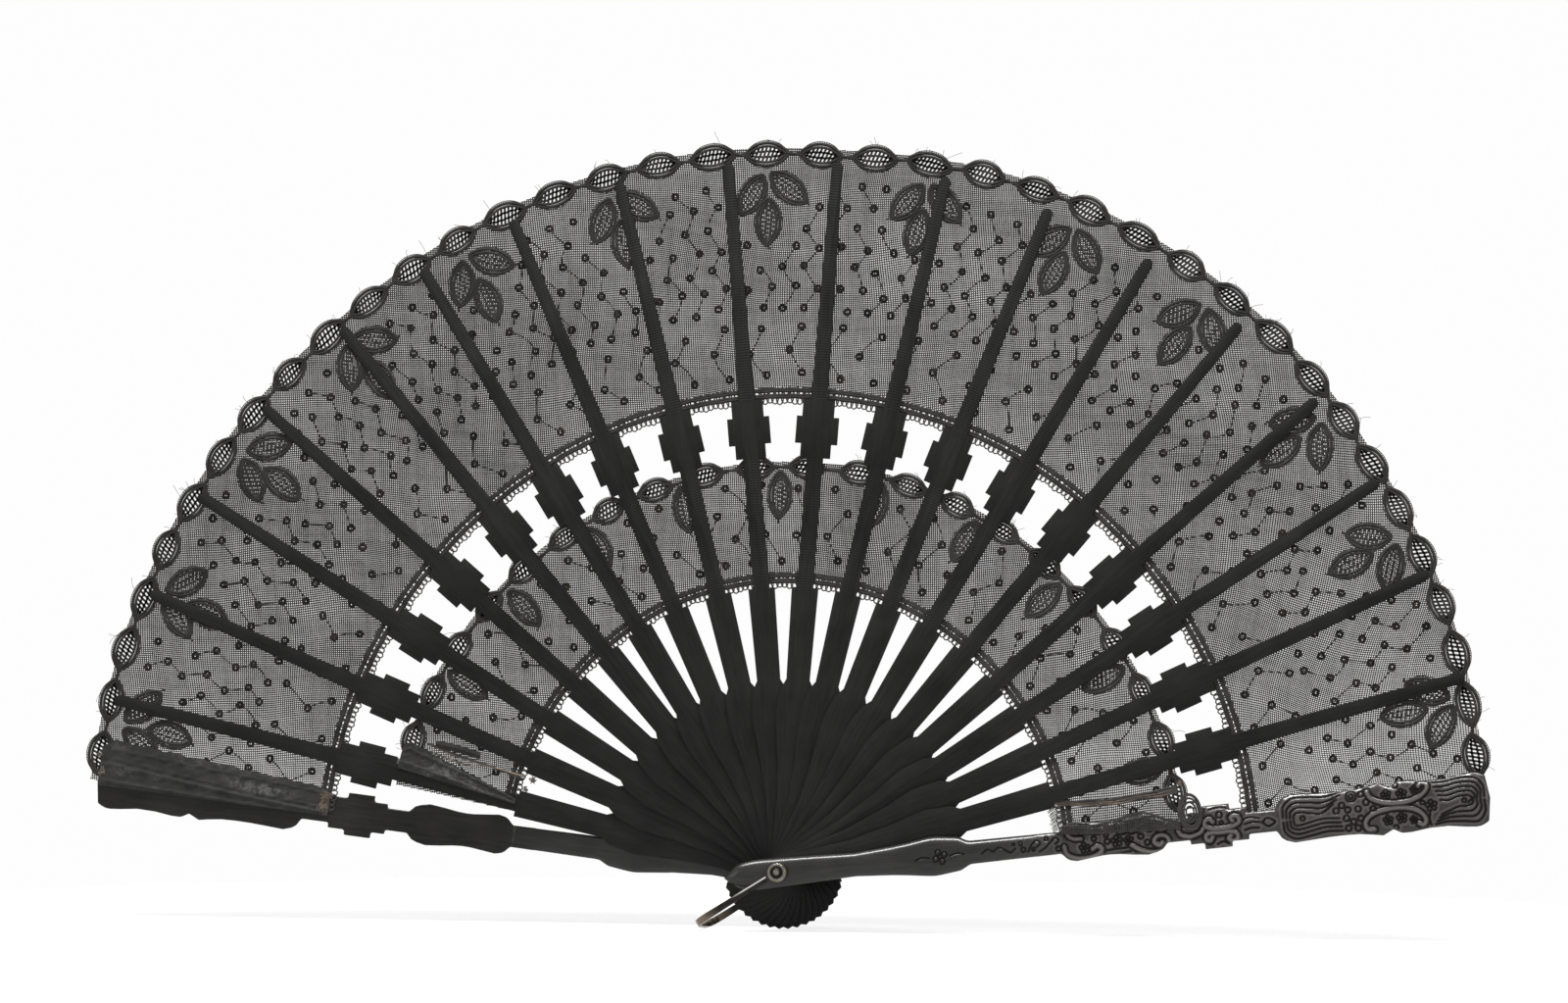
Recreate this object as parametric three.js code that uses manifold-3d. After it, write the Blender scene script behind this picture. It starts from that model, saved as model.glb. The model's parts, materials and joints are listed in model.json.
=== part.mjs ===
// A lace folding fan, standing open: eighteen sticks and two guards turn on one rivet.
// Millimetres, +Z up. The origin is on the rivet's axis, at the middle of the stack.
// The fan lies in the XZ plane, the front guard is at the right and nearest to the viewer, at -Y.
import * as THREE from "three";
import * as BufferGeometryUtils from "three/addons/utils/BufferGeometryUtils.js";
import Module from "manifold-3d";

// Driving sizes of the stack
const STICK_COUNT = 18;
const STICK_THICKNESS = 0.8;
const RUNNING_GAP = 0.2;
const GUARD_THICKNESS = 3.0;
const GUARD_EDGE_ROUND = 0.6;
const LACE_THICKNESS = 0.25;
const SILK_THICKNESS = 0.2;
const CLOTH_CLEARANCE = 0.15;

// Driving sizes along a stick, from the rivet outwards
const HEAD_REACH = 18.8;
const WAIST_RADIUS = 26;
const SHOULDER_RADIUS = 65;
const HUMP_TO_SHOULDER = 11;
const CHAMFER_LENGTH = 3.2;
const SHANK_LENGTH = 31;
const LOWER_SLIP_LENGTH = 43.7;
const BLOCK_FOOT_LENGTH = 4.7;
const BLOCK_MIDDLE_LENGTH = 9.2;
const BLOCK_TOP_LENGTH = 5.8;
const UPPER_SLIP_LENGTH = 80.6;

// Driving widths of a stick
const HEAD_WIDTH = 10.2;
const WAIST_WIDTH = 8;
const HUMP_WIDTH = 13.2;
const SHOULDER_WIDTH = 11.4;
const SHANK_WIDTH = 7.9;
const SHANK_TOP_WIDTH = 9;
const SLIP_WIDTH = 5.6;
const SLIP_TIP_WIDTH = 3.9;
const BLOCK_FOOT_WIDTH = 10.3;
const BLOCK_MIDDLE_WIDTH = 14.4;
const BLOCK_TOP_WIDTH = 10.8;

// Driving sizes of a guard where it differs from a stick
const GUARD_NECK_WIDTH = 7.4;
const GUARD_LOBE_WIDTH = 14;
const GUARD_LOBE_LENGTH = 36;
const GUARD_NECK_LENGTH = 9.4;
const GUARD_END_WIDTH = 18;
const GUARD_OVERRUN = 0.8;

// Driving sizes of the opening: the gaps in degrees, from the front guard round to the rear guard.
// The fan stands open by hand, so its pleats are not quite alike.
const PLEAT_GAPS = [
  9.8, 8.7, 8.4, 8.2, 8.7, 9.0, 9.2, 8.8, 9.0, 9.0,
  9.1, 9.3, 8.4, 8.2, 9.1, 8.9, 8.9, 9.1, 6.7,
];

// Driving sizes of the lace
const OUTER_LACE_TUCK = 1.4;
const OUTER_LACE_OVERHANG = 1.3;
const OUTER_SCALLOP_RISE = 4.3;
const OUTER_SCALLOP_COUNT = 37;
const INNER_LACE_START = 0.5;
const INNER_LACE_DROP = 2.6;
const INNER_SCALLOP_RISE = 2.4;
const INNER_SCALLOP_COUNT = 22;
const SCALLOP_STEPS = 6;
const SCALLOP_SHARE = 0.82;
const LACE_STEP_LENGTH = 4.2;
const NET_OPENING_ROWS = 5;
const NET_OPENING_SWEEP_SHARE = 0.55;
const NET_OPENING_DEPTH_SHARE = 0.8;
const NET_MARGIN = 6;

// Driving sizes of the silk strips
const GUARD_SILK_START = 0.4;
const GUARD_SILK_OVERRUN = 0.4;
const GUARD_SILK_SEAM = 1.6;
const GUARD_SILK_LOW_WIDTH = 9.2;
const GUARD_SILK_TOP_WIDTH = 16.4;
const STICK_SILK_START = 0.6;
const STICK_SILK_END_GAP = 0.9;
const STICK_SILK_SEAM = 0.4;
const STICK_SILK_LOW_WIDTH = 1.8;
const STICK_SILK_TOP_WIDTH = 12.2;

// Driving sizes of the rivet and loop
const PIN_RADIUS = 1.1;
const PIN_CLEARANCE = 0.1;
const PIN_HEAD_RADIUS = 1.5;
const PIN_HEAD_HEIGHT = 0.8;
const WASHER_RADIUS = 3.05;
const WASHER_THICKNESS = 0.5;
const METAL_CLEARANCE = 0.1;
const LOOP_LENGTH = 33;
const LOOP_THICKNESS = 1.0;
const LOOP_EYE_RADIUS = 3.6;
const LOOP_ARM_WIDTH = 1.7;
const LOOP_BEND_WIDTH = 2.3;
const LOOP_CORNER_RADIUS = 5;
const LOOP_ANGLE = 212.5;

// Stations along a stick
const shankEnd = SHOULDER_RADIUS + SHANK_LENGTH;
const blockStart = shankEnd + LOWER_SLIP_LENGTH;
const blockMiddleStart = blockStart + BLOCK_FOOT_LENGTH;
const blockMiddleEnd = blockMiddleStart + BLOCK_MIDDLE_LENGTH;
const blockEnd = blockMiddleEnd + BLOCK_TOP_LENGTH;
const stickTip = blockEnd + UPPER_SLIP_LENGTH;
const guardSilkLength = UPPER_SLIP_LENGTH - GUARD_SILK_START + GUARD_SILK_OVERRUN;
const stickSilkLength = LOWER_SLIP_LENGTH - STICK_SILK_START - STICK_SILK_END_GAP;

// Levels through the stack, along Y
const stickPitch = STICK_THICKNESS + RUNNING_GAP;
const slipThickness = stickPitch - LACE_THICKNESS - 2 * CLOTH_CLEARANCE;
const stackHalf = (STICK_COUNT * stickPitch + RUNNING_GAP) / 2;
const stickLevel = (number) => (number - (STICK_COUNT + 1) / 2) * stickPitch;
const slipFront = (number) => stickLevel(number) - STICK_THICKNESS / 2;
const slipBack = (number) => slipFront(number) + slipThickness;
const lacePocket = LACE_THICKNESS + 2 * CLOTH_CLEARANCE;
const frontRebate = lacePocket - RUNNING_GAP;
const silkPocket = SILK_THICKNESS + CLOTH_CLEARANCE;
const rearRebate = lacePocket + silkPocket - (STICK_THICKNESS - slipThickness) - RUNNING_GAP;
const guardFace = stackHalf + GUARD_THICKNESS;
const laceBehind = (number) => slipBack(number) + CLOTH_CLEARANCE + LACE_THICKNESS / 2;
const laceAtFrontGuard = slipFront(1) - CLOTH_CLEARANCE - LACE_THICKNESS / 2;
const laceAtRearGuard = stackHalf + rearRebate - CLOTH_CLEARANCE - LACE_THICKNESS / 2;

// Angles of the blades, counted up from +X: number 0 is the front guard, the last is the rear guard
const degrees = THREE.MathUtils.degToRad;
const openAngle = PLEAT_GAPS.reduce((sum, gap) => sum + gap, 0);
const bladeAngles = [(180 - openAngle) / 2];
for (const gap of PLEAT_GAPS) {
  bladeAngles.push(bladeAngles[bladeAngles.length - 1] + gap);
}
const frontGuardAngle = bladeAngles[0];
const rearGuardAngle = bladeAngles[bladeAngles.length - 1];
const sweepOf = (width, radius) => THREE.MathUtils.radToDeg(width / radius);

// Joining and cutting solids
const wasm = await Module();
wasm.setup();

function toSolid(geometry) {
  const bare = geometry.index ? geometry.toNonIndexed() : geometry.clone();
  bare.deleteAttribute("normal");
  bare.deleteAttribute("uv");
  const merged = BufferGeometryUtils.mergeVertices(bare, 1e-4);
  return new wasm.Manifold(new wasm.Mesh({
    numProp: 3,
    vertProperties: new Float32Array(merged.attributes.position.array),
    triVerts: new Uint32Array(merged.index.array),
  }));
}

function toGeometry(solid) {
  const mesh = solid.getMesh();
  const geometry = new THREE.BufferGeometry();
  geometry.setAttribute("position", new THREE.BufferAttribute(new Float32Array(mesh.vertProperties), 3));
  geometry.setIndex(new THREE.BufferAttribute(new Uint32Array(mesh.triVerts), 1));
  geometry.computeVertexNormals();
  return geometry;
}

// A flat outline drawn as (distance from the rivet, offset across), stood up in the XZ plane
// between two levels of Y.
function plate(shape, front, back, options = {}) {
  const geometry = new THREE.ExtrudeGeometry(shape, {
    depth: back - front,
    bevelEnabled: false,
    curveSegments: 12,
    ...options,
  });
  geometry.rotateX(Math.PI / 2);
  geometry.translate(0, back, 0);
  return geometry;
}

// Outlines. A half outline runs up the left edge, from the head to the tip; the other half mirrors it.
const point = (along, across) => new THREE.Vector2(along, across);

function mirroredShape(halfOutline, bore) {
  const otherHalf = halfOutline
    .filter((p) => p.y > 0)
    .map((p) => point(p.x, -p.y))
    .reverse();
  const shape = new THREE.Shape([...halfOutline, ...otherHalf].reverse());
  if (bore) {
    shape.holes.push(new THREE.Path().absarc(0, 0, bore, 0, 2 * Math.PI, true));
  }
  return shape;
}

function smooth(controlPoints, steps) {
  return new THREE.SplineCurve(controlPoints).getPoints(steps);
}

// Head, waist and swelling gorge, up to the chamfered shoulder. A stick's head is blunter than a guard's.
function gorgeHalf(tipBluntness) {
  const headHalf = HEAD_WIDTH / 2;
  const hump = SHOULDER_RADIUS - HUMP_TO_SHOULDER;
  const chamferStart = SHOULDER_RADIUS - CHAMFER_LENGTH;
  const head = smooth([
    point(-HEAD_REACH, 0),
    point(-HEAD_REACH * (0.84 + 0.06 * tipBluntness), headHalf * (0.5 + 0.06 * tipBluntness)),
    point(-HEAD_REACH * 0.72, headHalf * 0.82),
    point(-HEAD_REACH * 0.5, headHalf * 0.97),
    point(-HEAD_REACH * 0.24, headHalf),
    point(WAIST_RADIUS * 0.4, headHalf * 0.92),
  ], 9);
  const gorge = smooth([
    point(WAIST_RADIUS, WAIST_WIDTH / 2),
    point((WAIST_RADIUS + hump) / 2, (WAIST_WIDTH * 0.6 + HUMP_WIDTH * 0.4) / 2),
    point(hump - HUMP_TO_SHOULDER * 0.35, HUMP_WIDTH * 0.485),
    point(hump, HUMP_WIDTH / 2),
    point(chamferStart, SHOULDER_WIDTH / 2),
  ], 9);
  return [...head, ...gorge, point(SHOULDER_RADIUS, SHANK_WIDTH / 2)];
}

function blockHalf() {
  return [
    point(blockStart, BLOCK_FOOT_WIDTH / 2),
    point(blockMiddleStart, BLOCK_FOOT_WIDTH / 2),
    point(blockMiddleStart, BLOCK_MIDDLE_WIDTH / 2),
    point(blockMiddleEnd, BLOCK_MIDDLE_WIDTH / 2),
    point(blockMiddleEnd, BLOCK_TOP_WIDTH / 2),
    point(blockEnd, BLOCK_TOP_WIDTH / 2),
  ];
}

// A stick: the full thickness from the head to the shank's end, thinned behind for the lace from there on
function stickGeometry() {
  const bore = PIN_RADIUS + PIN_CLEARANCE;
  const body = mirroredShape([...gorgeHalf(1), point(shankEnd, SHANK_TOP_WIDTH / 2)], bore);
  const tipHalf = SLIP_TIP_WIDTH / 2;
  const slip = mirroredShape([
    point(shankEnd - 1, SLIP_WIDTH / 2),
    point(blockStart, SLIP_WIDTH / 2),
    ...blockHalf(),
    point(blockEnd, SLIP_WIDTH / 2),
    point(blockEnd + UPPER_SLIP_LENGTH / 2, SLIP_WIDTH / 2 - 0.15 * (SLIP_WIDTH - SLIP_TIP_WIDTH)),
    point(stickTip - tipHalf, tipHalf),
    point(stickTip - tipHalf * 0.3, tipHalf * 0.7),
    point(stickTip, 0),
  ]);
  const thick = toSolid(plate(body, -STICK_THICKNESS / 2, STICK_THICKNESS / 2));
  const thin = toSolid(plate(slip, -STICK_THICKNESS / 2, -STICK_THICKNESS / 2 + slipThickness));
  return toGeometry(thick.add(thin));
}

// A guard follows the stick up to its shank, then swells into a lobe, a block, a neck and a wide end
function guardHalf() {
  const lobeHalf = GUARD_LOBE_WIDTH / 2;
  const lobeEnd = shankEnd + GUARD_LOBE_LENGTH;
  const lobe = (share, width) => point(shankEnd + GUARD_LOBE_LENGTH * share, lobeHalf * width);
  const endStart = blockEnd + GUARD_NECK_LENGTH;
  const guardTip = stickTip + GUARD_OVERRUN;
  const endLength = guardTip - endStart;
  const endHalf = GUARD_END_WIDTH / 2;
  const wide = (share, width) => point(endStart + endLength * share, endHalf * width);
  return [
    ...gorgeHalf(0),
    point(shankEnd, GUARD_NECK_WIDTH / 2),
    ...smooth([
      lobe(0.05, 0.8), lobe(0.14, 0.95), lobe(0.38, 0.81),
      lobe(0.54, 0.83), lobe(0.81, 1), lobe(0.95, 0.8),
    ], 10),
    point(lobeEnd, GUARD_NECK_WIDTH / 2),
    point(blockStart, GUARD_NECK_WIDTH / 2),
    ...blockHalf(),
    point(blockEnd, GUARD_NECK_WIDTH / 2),
    point(endStart, GUARD_NECK_WIDTH / 2),
    ...smooth([wide(0.02, 0.68), wide(0.08, 0.9), wide(0.24, 0.83), wide(0.38, 0.84), wide(0.49, 0.98)], 8),
    wide(0.54, 0.79),
    ...smooth([
      wide(0.57, 0.93), wide(0.61, 0.97), wide(0.76, 0.86),
      wide(0.9, 1), wide(0.95, 0.99), wide(0.985, 0.84),
    ], 9),
    wide(1, 0),
  ];
}

function guardGeometry(rebate) {
  const blank = plate(mirroredShape(guardHalf()), 0, GUARD_THICKNESS, {
    depth: GUARD_THICKNESS - GUARD_EDGE_ROUND,
    bevelEnabled: true,
    bevelThickness: GUARD_EDGE_ROUND,
    bevelSize: GUARD_EDGE_ROUND,
    bevelOffset: -GUARD_EDGE_ROUND,
    bevelSegments: 1,
  });
  // Both faces come out bevelled: the inner one is cut off flat, and deeper beside the lace
  blank.translate(0, -GUARD_EDGE_ROUND, 0);
  const reach = 2 * (stickTip + HEAD_REACH);
  const cutBelow = (level, start) => {
    const box = new THREE.BoxGeometry(reach, GUARD_THICKNESS * 2, GUARD_END_WIDTH * 2);
    box.translate(start + reach / 2, level - GUARD_THICKNESS, 0);
    return toSolid(box);
  };
  const boreRadius = PIN_RADIUS + PIN_CLEARANCE;
  const bore = new THREE.CylinderGeometry(boreRadius, boreRadius, GUARD_THICKNESS * 4, 24);
  return toGeometry(
    toSolid(blank)
      .subtract(cutBelow(0, -reach / 2))
      .subtract(cutBelow(rebate, shankEnd - 1))
      .subtract(toSolid(bore)),
  );
}

// A closed strip that runs round the rivet in columns, each with its angle, level, inner and outer radius
function stripGeometry(columns, thickness) {
  const positions = [];
  for (const { angle, level, inner, outer } of columns) {
    const c = Math.cos(degrees(angle));
    const s = Math.sin(degrees(angle));
    for (const [radius, side] of [[inner, -0.5], [outer, -0.5], [outer, 0.5], [inner, 0.5]]) {
      positions.push(radius * c, level + side * thickness, radius * s);
    }
  }
  const index = [];
  const quad = (a, b, c, d) => index.push(a, b, c, a, c, d);
  for (let column = 0; column + 1 < columns.length; column += 1) {
    const here = column * 4;
    for (let corner = 0; corner < 4; corner += 1) {
      const next = (corner + 1) % 4;
      quad(here + corner, here + next, here + 4 + next, here + 4 + corner);
    }
  }
  const last = (columns.length - 1) * 4;
  quad(3, 2, 1, 0);
  quad(last, last + 1, last + 2, last + 3);
  const geometry = new THREE.BufferGeometry();
  geometry.setAttribute("position", new THREE.Float32BufferAttribute(positions, 3));
  geometry.setIndex(index);
  geometry.computeVertexNormals();
  return geometry;
}

// The level of the lace at any angle: flat behind each blade, then one step back to the next blade's layer,
// done before the next blade's edge. The knots are (angle, level) pairs in rising order.
function laceKnots(startAngle, endAngle, lastBlade, hiddenWidth, radius) {
  const levelAt = (blade) => {
    if (blade === 0) {
      return laceAtFrontGuard;
    }
    return blade > STICK_COUNT ? laceAtRearGuard : laceBehind(blade);
  };
  const knots = [[startAngle, levelAt(0)]];
  for (let blade = 1; blade <= lastBlade; blade += 1) {
    const cover = blade > STICK_COUNT ? GUARD_SILK_TOP_WIDTH - GUARD_SILK_SEAM : hiddenWidth / 2;
    const coverRadius = blade > STICK_COUNT ? stickTip : radius;
    const stepEnd = bladeAngles[blade] - sweepOf(cover + CLOTH_CLEARANCE * 3, coverRadius);
    const stepStart = Math.max(
      stepEnd - sweepOf(LACE_STEP_LENGTH, radius),
      bladeAngles[blade - 1] + sweepOf(SLIP_WIDTH / 2 + CLOTH_CLEARANCE, radius),
    );
    knots.push([stepStart, levelAt(blade - 1)], [stepEnd, levelAt(blade)]);
  }
  knots.push([endAngle, levelAt(lastBlade)]);
  return knots;
}

function levelBetween(knots, angle) {
  const after = knots.findIndex(([knotAngle]) => knotAngle >= angle);
  if (after <= 0) {
    return knots[Math.max(after, 0)][1];
  }
  const [angleA, levelA] = knots[after - 1];
  const [angleB, levelB] = knots[after];
  return levelA + ((levelB - levelA) * (angle - angleA)) / (angleB - angleA);
}

// The net's mesh stands as a plain grid of openings between the band's corded edges, half of the pleats
// across in each row and the other half in the next. The last pleat lies under the guard's silk.
function netOpenings(inner, outer) {
  const first = inner + NET_MARGIN;
  const rowPitch = (outer - NET_MARGIN - first) / NET_OPENING_ROWS;
  const corner = (radius, angle) => point(radius * Math.cos(angle), radius * Math.sin(angle));
  const cutters = [];
  for (let pleat = 0; pleat < STICK_COUNT; pleat += 1) {
    const sweep = PLEAT_GAPS[pleat] * NET_OPENING_SWEEP_SHARE;
    const from = degrees(bladeAngles[pleat] + (PLEAT_GAPS[pleat] - sweep) / 2);
    const to = from + degrees(sweep);
    for (let row = pleat % 2; row < NET_OPENING_ROWS; row += 2) {
      const low = first + (row + (1 - NET_OPENING_DEPTH_SHARE) / 2) * rowPitch;
      const high = low + NET_OPENING_DEPTH_SHARE * rowPitch;
      const corners = [corner(low, from), corner(high, from), corner(high, to), corner(low, to)];
      cutters.push(toSolid(plate(new THREE.Shape(corners), -guardFace, guardFace)));
    }
  }
  return wasm.Manifold.union(cutters);
}

// A band of lace: its outer edge is a row of scallops, its steps from layer to layer are the pleats
function laceGeometry({ knots, inner, valley, rise, scallops }) {
  const start = knots[0][0];
  const end = knots[knots.length - 1][0];
  const pitch = (end - start) / scallops;
  const angles = new Set(knots.map(([angle]) => angle));
  for (let step = 0; step <= scallops * SCALLOP_STEPS; step += 1) {
    const angle = start + (step * pitch) / SCALLOP_STEPS;
    if (knots.every(([knotAngle]) => Math.abs(knotAngle - angle) > pitch / SCALLOP_STEPS / 4)) {
      angles.add(angle);
    }
  }
  const columns = [...angles].sort((a, b) => a - b).map((angle) => {
    const alongScallop = (((angle - start) / pitch) % 1) * 2 - 1;
    const crest = Math.max(0, 1 - (alongScallop / SCALLOP_SHARE) ** 2);
    return { angle, level: levelBetween(knots, angle), inner, outer: valley + rise * crest };
  });
  return stripGeometry(columns, LACE_THICKNESS);
}

function outerLaceGeometry() {
  const inner = blockEnd - OUTER_LACE_TUCK;
  const valley = stickTip + OUTER_LACE_OVERHANG;
  const band = laceGeometry({
    knots: laceKnots(frontGuardAngle, rearGuardAngle, STICK_COUNT + 1, BLOCK_TOP_WIDTH, inner),
    inner,
    valley,
    rise: OUTER_SCALLOP_RISE,
    scallops: OUTER_SCALLOP_COUNT,
  });
  return toGeometry(toSolid(band).subtract(netOpenings(inner, valley)));
}

function innerLaceGeometry() {
  const inner = shankEnd + INNER_LACE_START;
  const end = bladeAngles[STICK_COUNT] + sweepOf(SLIP_WIDTH / 2, inner);
  return laceGeometry({
    knots: laceKnots(frontGuardAngle, end, STICK_COUNT, BLOCK_FOOT_WIDTH, inner),
    inner,
    valley: blockStart - INNER_LACE_DROP,
    rise: INNER_SCALLOP_RISE,
    scallops: INNER_SCALLOP_COUNT,
  });
}

// A silk strip lies flat along a blade, wider towards the tip: its corners are (along, across) of the blade
function silkGeometry({ start, length, seam, lowWidth, topWidth }) {
  const shape = new THREE.Shape([
    point(start, seam),
    point(start + length, seam),
    point(start + length, seam + topWidth),
    point(start + length * 0.62, seam + topWidth * 0.72 + lowWidth * 0.28),
    point(start, seam + lowWidth),
  ]);
  return plate(shape, 0, SILK_THICKNESS);
}

// Solids of revolution about the rivet's axis: a profile of (radius, Y) turned once round
function turned(profile, segments = 24) {
  return new THREE.LatheGeometry(profile.map(([radius, level]) => point(radius, level)), segments);
}

// The rivet runs through guards, loop eyes and washers, and each end is domed over its washer
const eyeOuter = guardFace + METAL_CLEARANCE + LOOP_THICKNESS;
const washerInner = eyeOuter + METAL_CLEARANCE;
const washerOuter = washerInner + WASHER_THICKNESS;
const headSeat = washerOuter + METAL_CLEARANCE;

function pinGeometry() {
  const dome = (share) => [PIN_HEAD_RADIUS * Math.cos(share), headSeat + PIN_HEAD_HEIGHT * Math.sin(share)];
  const upper = [[PIN_RADIUS, headSeat], dome(0), dome(Math.PI / 6), dome(Math.PI / 3)];
  const lower = upper.map(([radius, level]) => [radius, -level]).reverse();
  const top = headSeat + PIN_HEAD_HEIGHT;
  return turned([[0, -top], ...lower, ...upper, [0, top]]);
}

function washerGeometry() {
  const bore = PIN_RADIUS + PIN_CLEARANCE;
  const rim = WASHER_THICKNESS * 0.4;
  return turned([
    [bore, 0],
    [WASHER_RADIUS, 0],
    [WASHER_RADIUS, WASHER_THICKNESS - rim],
    [WASHER_RADIUS - rim, WASHER_THICKNESS],
    [bore, WASHER_THICKNESS],
    [bore, 0],
  ]);
}

// The loop: two flat arms with an eye each, joined outside the heads by a bend that spans the stack
function loopGeometry() {
  const inside = guardFace + METAL_CLEARANCE;
  const bendStart = LOOP_LENGTH - LOOP_THICKNESS - LOOP_CORNER_RADIUS;
  const arm = new THREE.Shape([
    point(LOOP_EYE_RADIUS * 0.6, -LOOP_ARM_WIDTH / 2),
    point(bendStart + 1, -LOOP_BEND_WIDTH / 2),
    point(bendStart + 1, LOOP_BEND_WIDTH / 2),
    point(LOOP_EYE_RADIUS * 0.6, LOOP_ARM_WIDTH / 2),
  ]);
  const eye = new THREE.Shape().absarc(0, 0, LOOP_EYE_RADIUS, 0, 2 * Math.PI);
  const boreRadius = PIN_RADIUS + PIN_CLEARANCE;
  const bore = new THREE.CylinderGeometry(boreRadius, boreRadius, guardFace * 4, 24);
  const outerCorner = LOOP_CORNER_RADIUS + LOOP_THICKNESS;
  const cornerCentre = LOOP_LENGTH - outerCorner;
  const cornerLevel = eyeOuter - outerCorner;
  // The bend is drawn in the plane of the arms' length and the stack's depth, then given the strip's width
  const bend = new THREE.Shape();
  bend.moveTo(bendStart, -eyeOuter);
  bend.lineTo(cornerCentre, -eyeOuter);
  bend.absarc(cornerCentre, -cornerLevel, outerCorner, -Math.PI / 2, 0);
  bend.absarc(cornerCentre, cornerLevel, outerCorner, 0, Math.PI / 2);
  bend.lineTo(bendStart, eyeOuter);
  bend.lineTo(bendStart, inside);
  bend.absarc(cornerCentre, cornerLevel, LOOP_CORNER_RADIUS, Math.PI / 2, 0, true);
  bend.absarc(cornerCentre, -cornerLevel, LOOP_CORNER_RADIUS, 0, -Math.PI / 2, true);
  bend.lineTo(bendStart, -inside);
  const bendGeometry = new THREE.ExtrudeGeometry(bend, {
    depth: LOOP_BEND_WIDTH,
    bevelEnabled: false,
    curveSegments: 6,
  });
  bendGeometry.translate(0, 0, -LOOP_BEND_WIDTH / 2);
  const sides = [[-eyeOuter, -inside], [inside, eyeOuter]];
  const arms = sides.map(([front, back]) => {
    return toSolid(plate(arm, front, back)).add(toSolid(plate(eye, front, back)));
  });
  return toGeometry(toSolid(bendGeometry).add(arms[0]).add(arms[1]).subtract(toSolid(bore)));
}

// Finishes
const ebonisedWood = new THREE.MeshStandardMaterial({ color: 0x262423, roughness: 0.55, metalness: 0 });
const blackenedGuard = new THREE.MeshStandardMaterial({ color: 0x2e2d2d, roughness: 0.38, metalness: 0 });
const blackLace = new THREE.MeshStandardMaterial({ color: 0x2b2827, roughness: 0.9, metalness: 0 });
const blackSilk = new THREE.MeshStandardMaterial({ color: 0x353332, roughness: 0.7, metalness: 0 });
const darkNickel = new THREE.MeshStandardMaterial({ color: 0x6b6a66, roughness: 0.32, metalness: 1 });

// Assembly
const fan = new THREE.Group();

function addPiece(name, geometry, material, parent = fan) {
  const mesh = new THREE.Mesh(geometry, material);
  mesh.name = name;
  parent.add(mesh);
  return mesh;
}

// A frame that turns a blade drawn along +X up to its angle
function bladeFrame(angle, level) {
  const frame = new THREE.Group();
  frame.rotation.y = -degrees(angle);
  frame.position.y = level;
  fan.add(frame);
  return frame;
}

const frontGuardFrame = bladeFrame(frontGuardAngle, -stackHalf);
const frontGuard = addPiece("front_guard", guardGeometry(frontRebate), blackenedGuard, frontGuardFrame);
frontGuard.rotation.x = Math.PI;

const stick = stickGeometry();
for (let number = 1; number <= STICK_COUNT; number += 1) {
  const name = `stick_${String(number).padStart(2, "0")}`;
  addPiece(name, stick, ebonisedWood, bladeFrame(bladeAngles[number], stickLevel(number)));
}

addPiece("rear_guard", guardGeometry(rearRebate), blackenedGuard, bladeFrame(rearGuardAngle, stackHalf));

addPiece("outer_lace_leaf", outerLaceGeometry(), blackLace);
addPiece("inner_lace_leaf", innerLaceGeometry(), blackLace);

// The strips' widths are measured towards the front guard, so they are turned over about the blade's axis
const guardSilk = addPiece("rear_guard_silk_strip", silkGeometry({
  start: blockEnd + GUARD_SILK_START,
  length: guardSilkLength,
  seam: -GUARD_SILK_SEAM,
  lowWidth: GUARD_SILK_LOW_WIDTH,
  topWidth: GUARD_SILK_TOP_WIDTH,
}), blackSilk, bladeFrame(rearGuardAngle, slipBack(STICK_COUNT) + CLOTH_CLEARANCE + SILK_THICKNESS));
guardSilk.rotation.x = Math.PI;

const stickSilk = addPiece("stick_18_silk_strip", silkGeometry({
  start: shankEnd + STICK_SILK_START,
  length: stickSilkLength,
  seam: -STICK_SILK_SEAM,
  lowWidth: STICK_SILK_LOW_WIDTH,
  topWidth: STICK_SILK_TOP_WIDTH,
}), blackSilk, bladeFrame(bladeAngles[STICK_COUNT], slipFront(STICK_COUNT) - CLOTH_CLEARANCE));
stickSilk.rotation.x = Math.PI;

addPiece("rivet_pin", pinGeometry(), darkNickel);
const frontWasher = addPiece("front_washer", washerGeometry(), darkNickel);
frontWasher.rotation.x = Math.PI;
frontWasher.position.y = -washerInner;
const rearWasher = addPiece("rear_washer", washerGeometry(), darkNickel);
rearWasher.position.y = washerInner;
addPiece("carrying_loop", loopGeometry(), darkNickel, bladeFrame(LOOP_ANGLE, 0));

export default fan;
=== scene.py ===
# %% [markdown]
# # A lace folding fan, standing open
# The fan has eighteen thin ebonised sticks between two stout guards, all turning on one rivet.
# Each stick lies one layer deeper than its neighbour at the right. Two bands of black lace are stretched
# behind the sticks, and a carrying loop hangs from the rivet.
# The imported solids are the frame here: every piece below starts from the place of its solid.

import json
import math

import bpy
import numpy as np
from mathutils import Matrix, Vector
from mathutils.kdtree import KDTree


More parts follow.
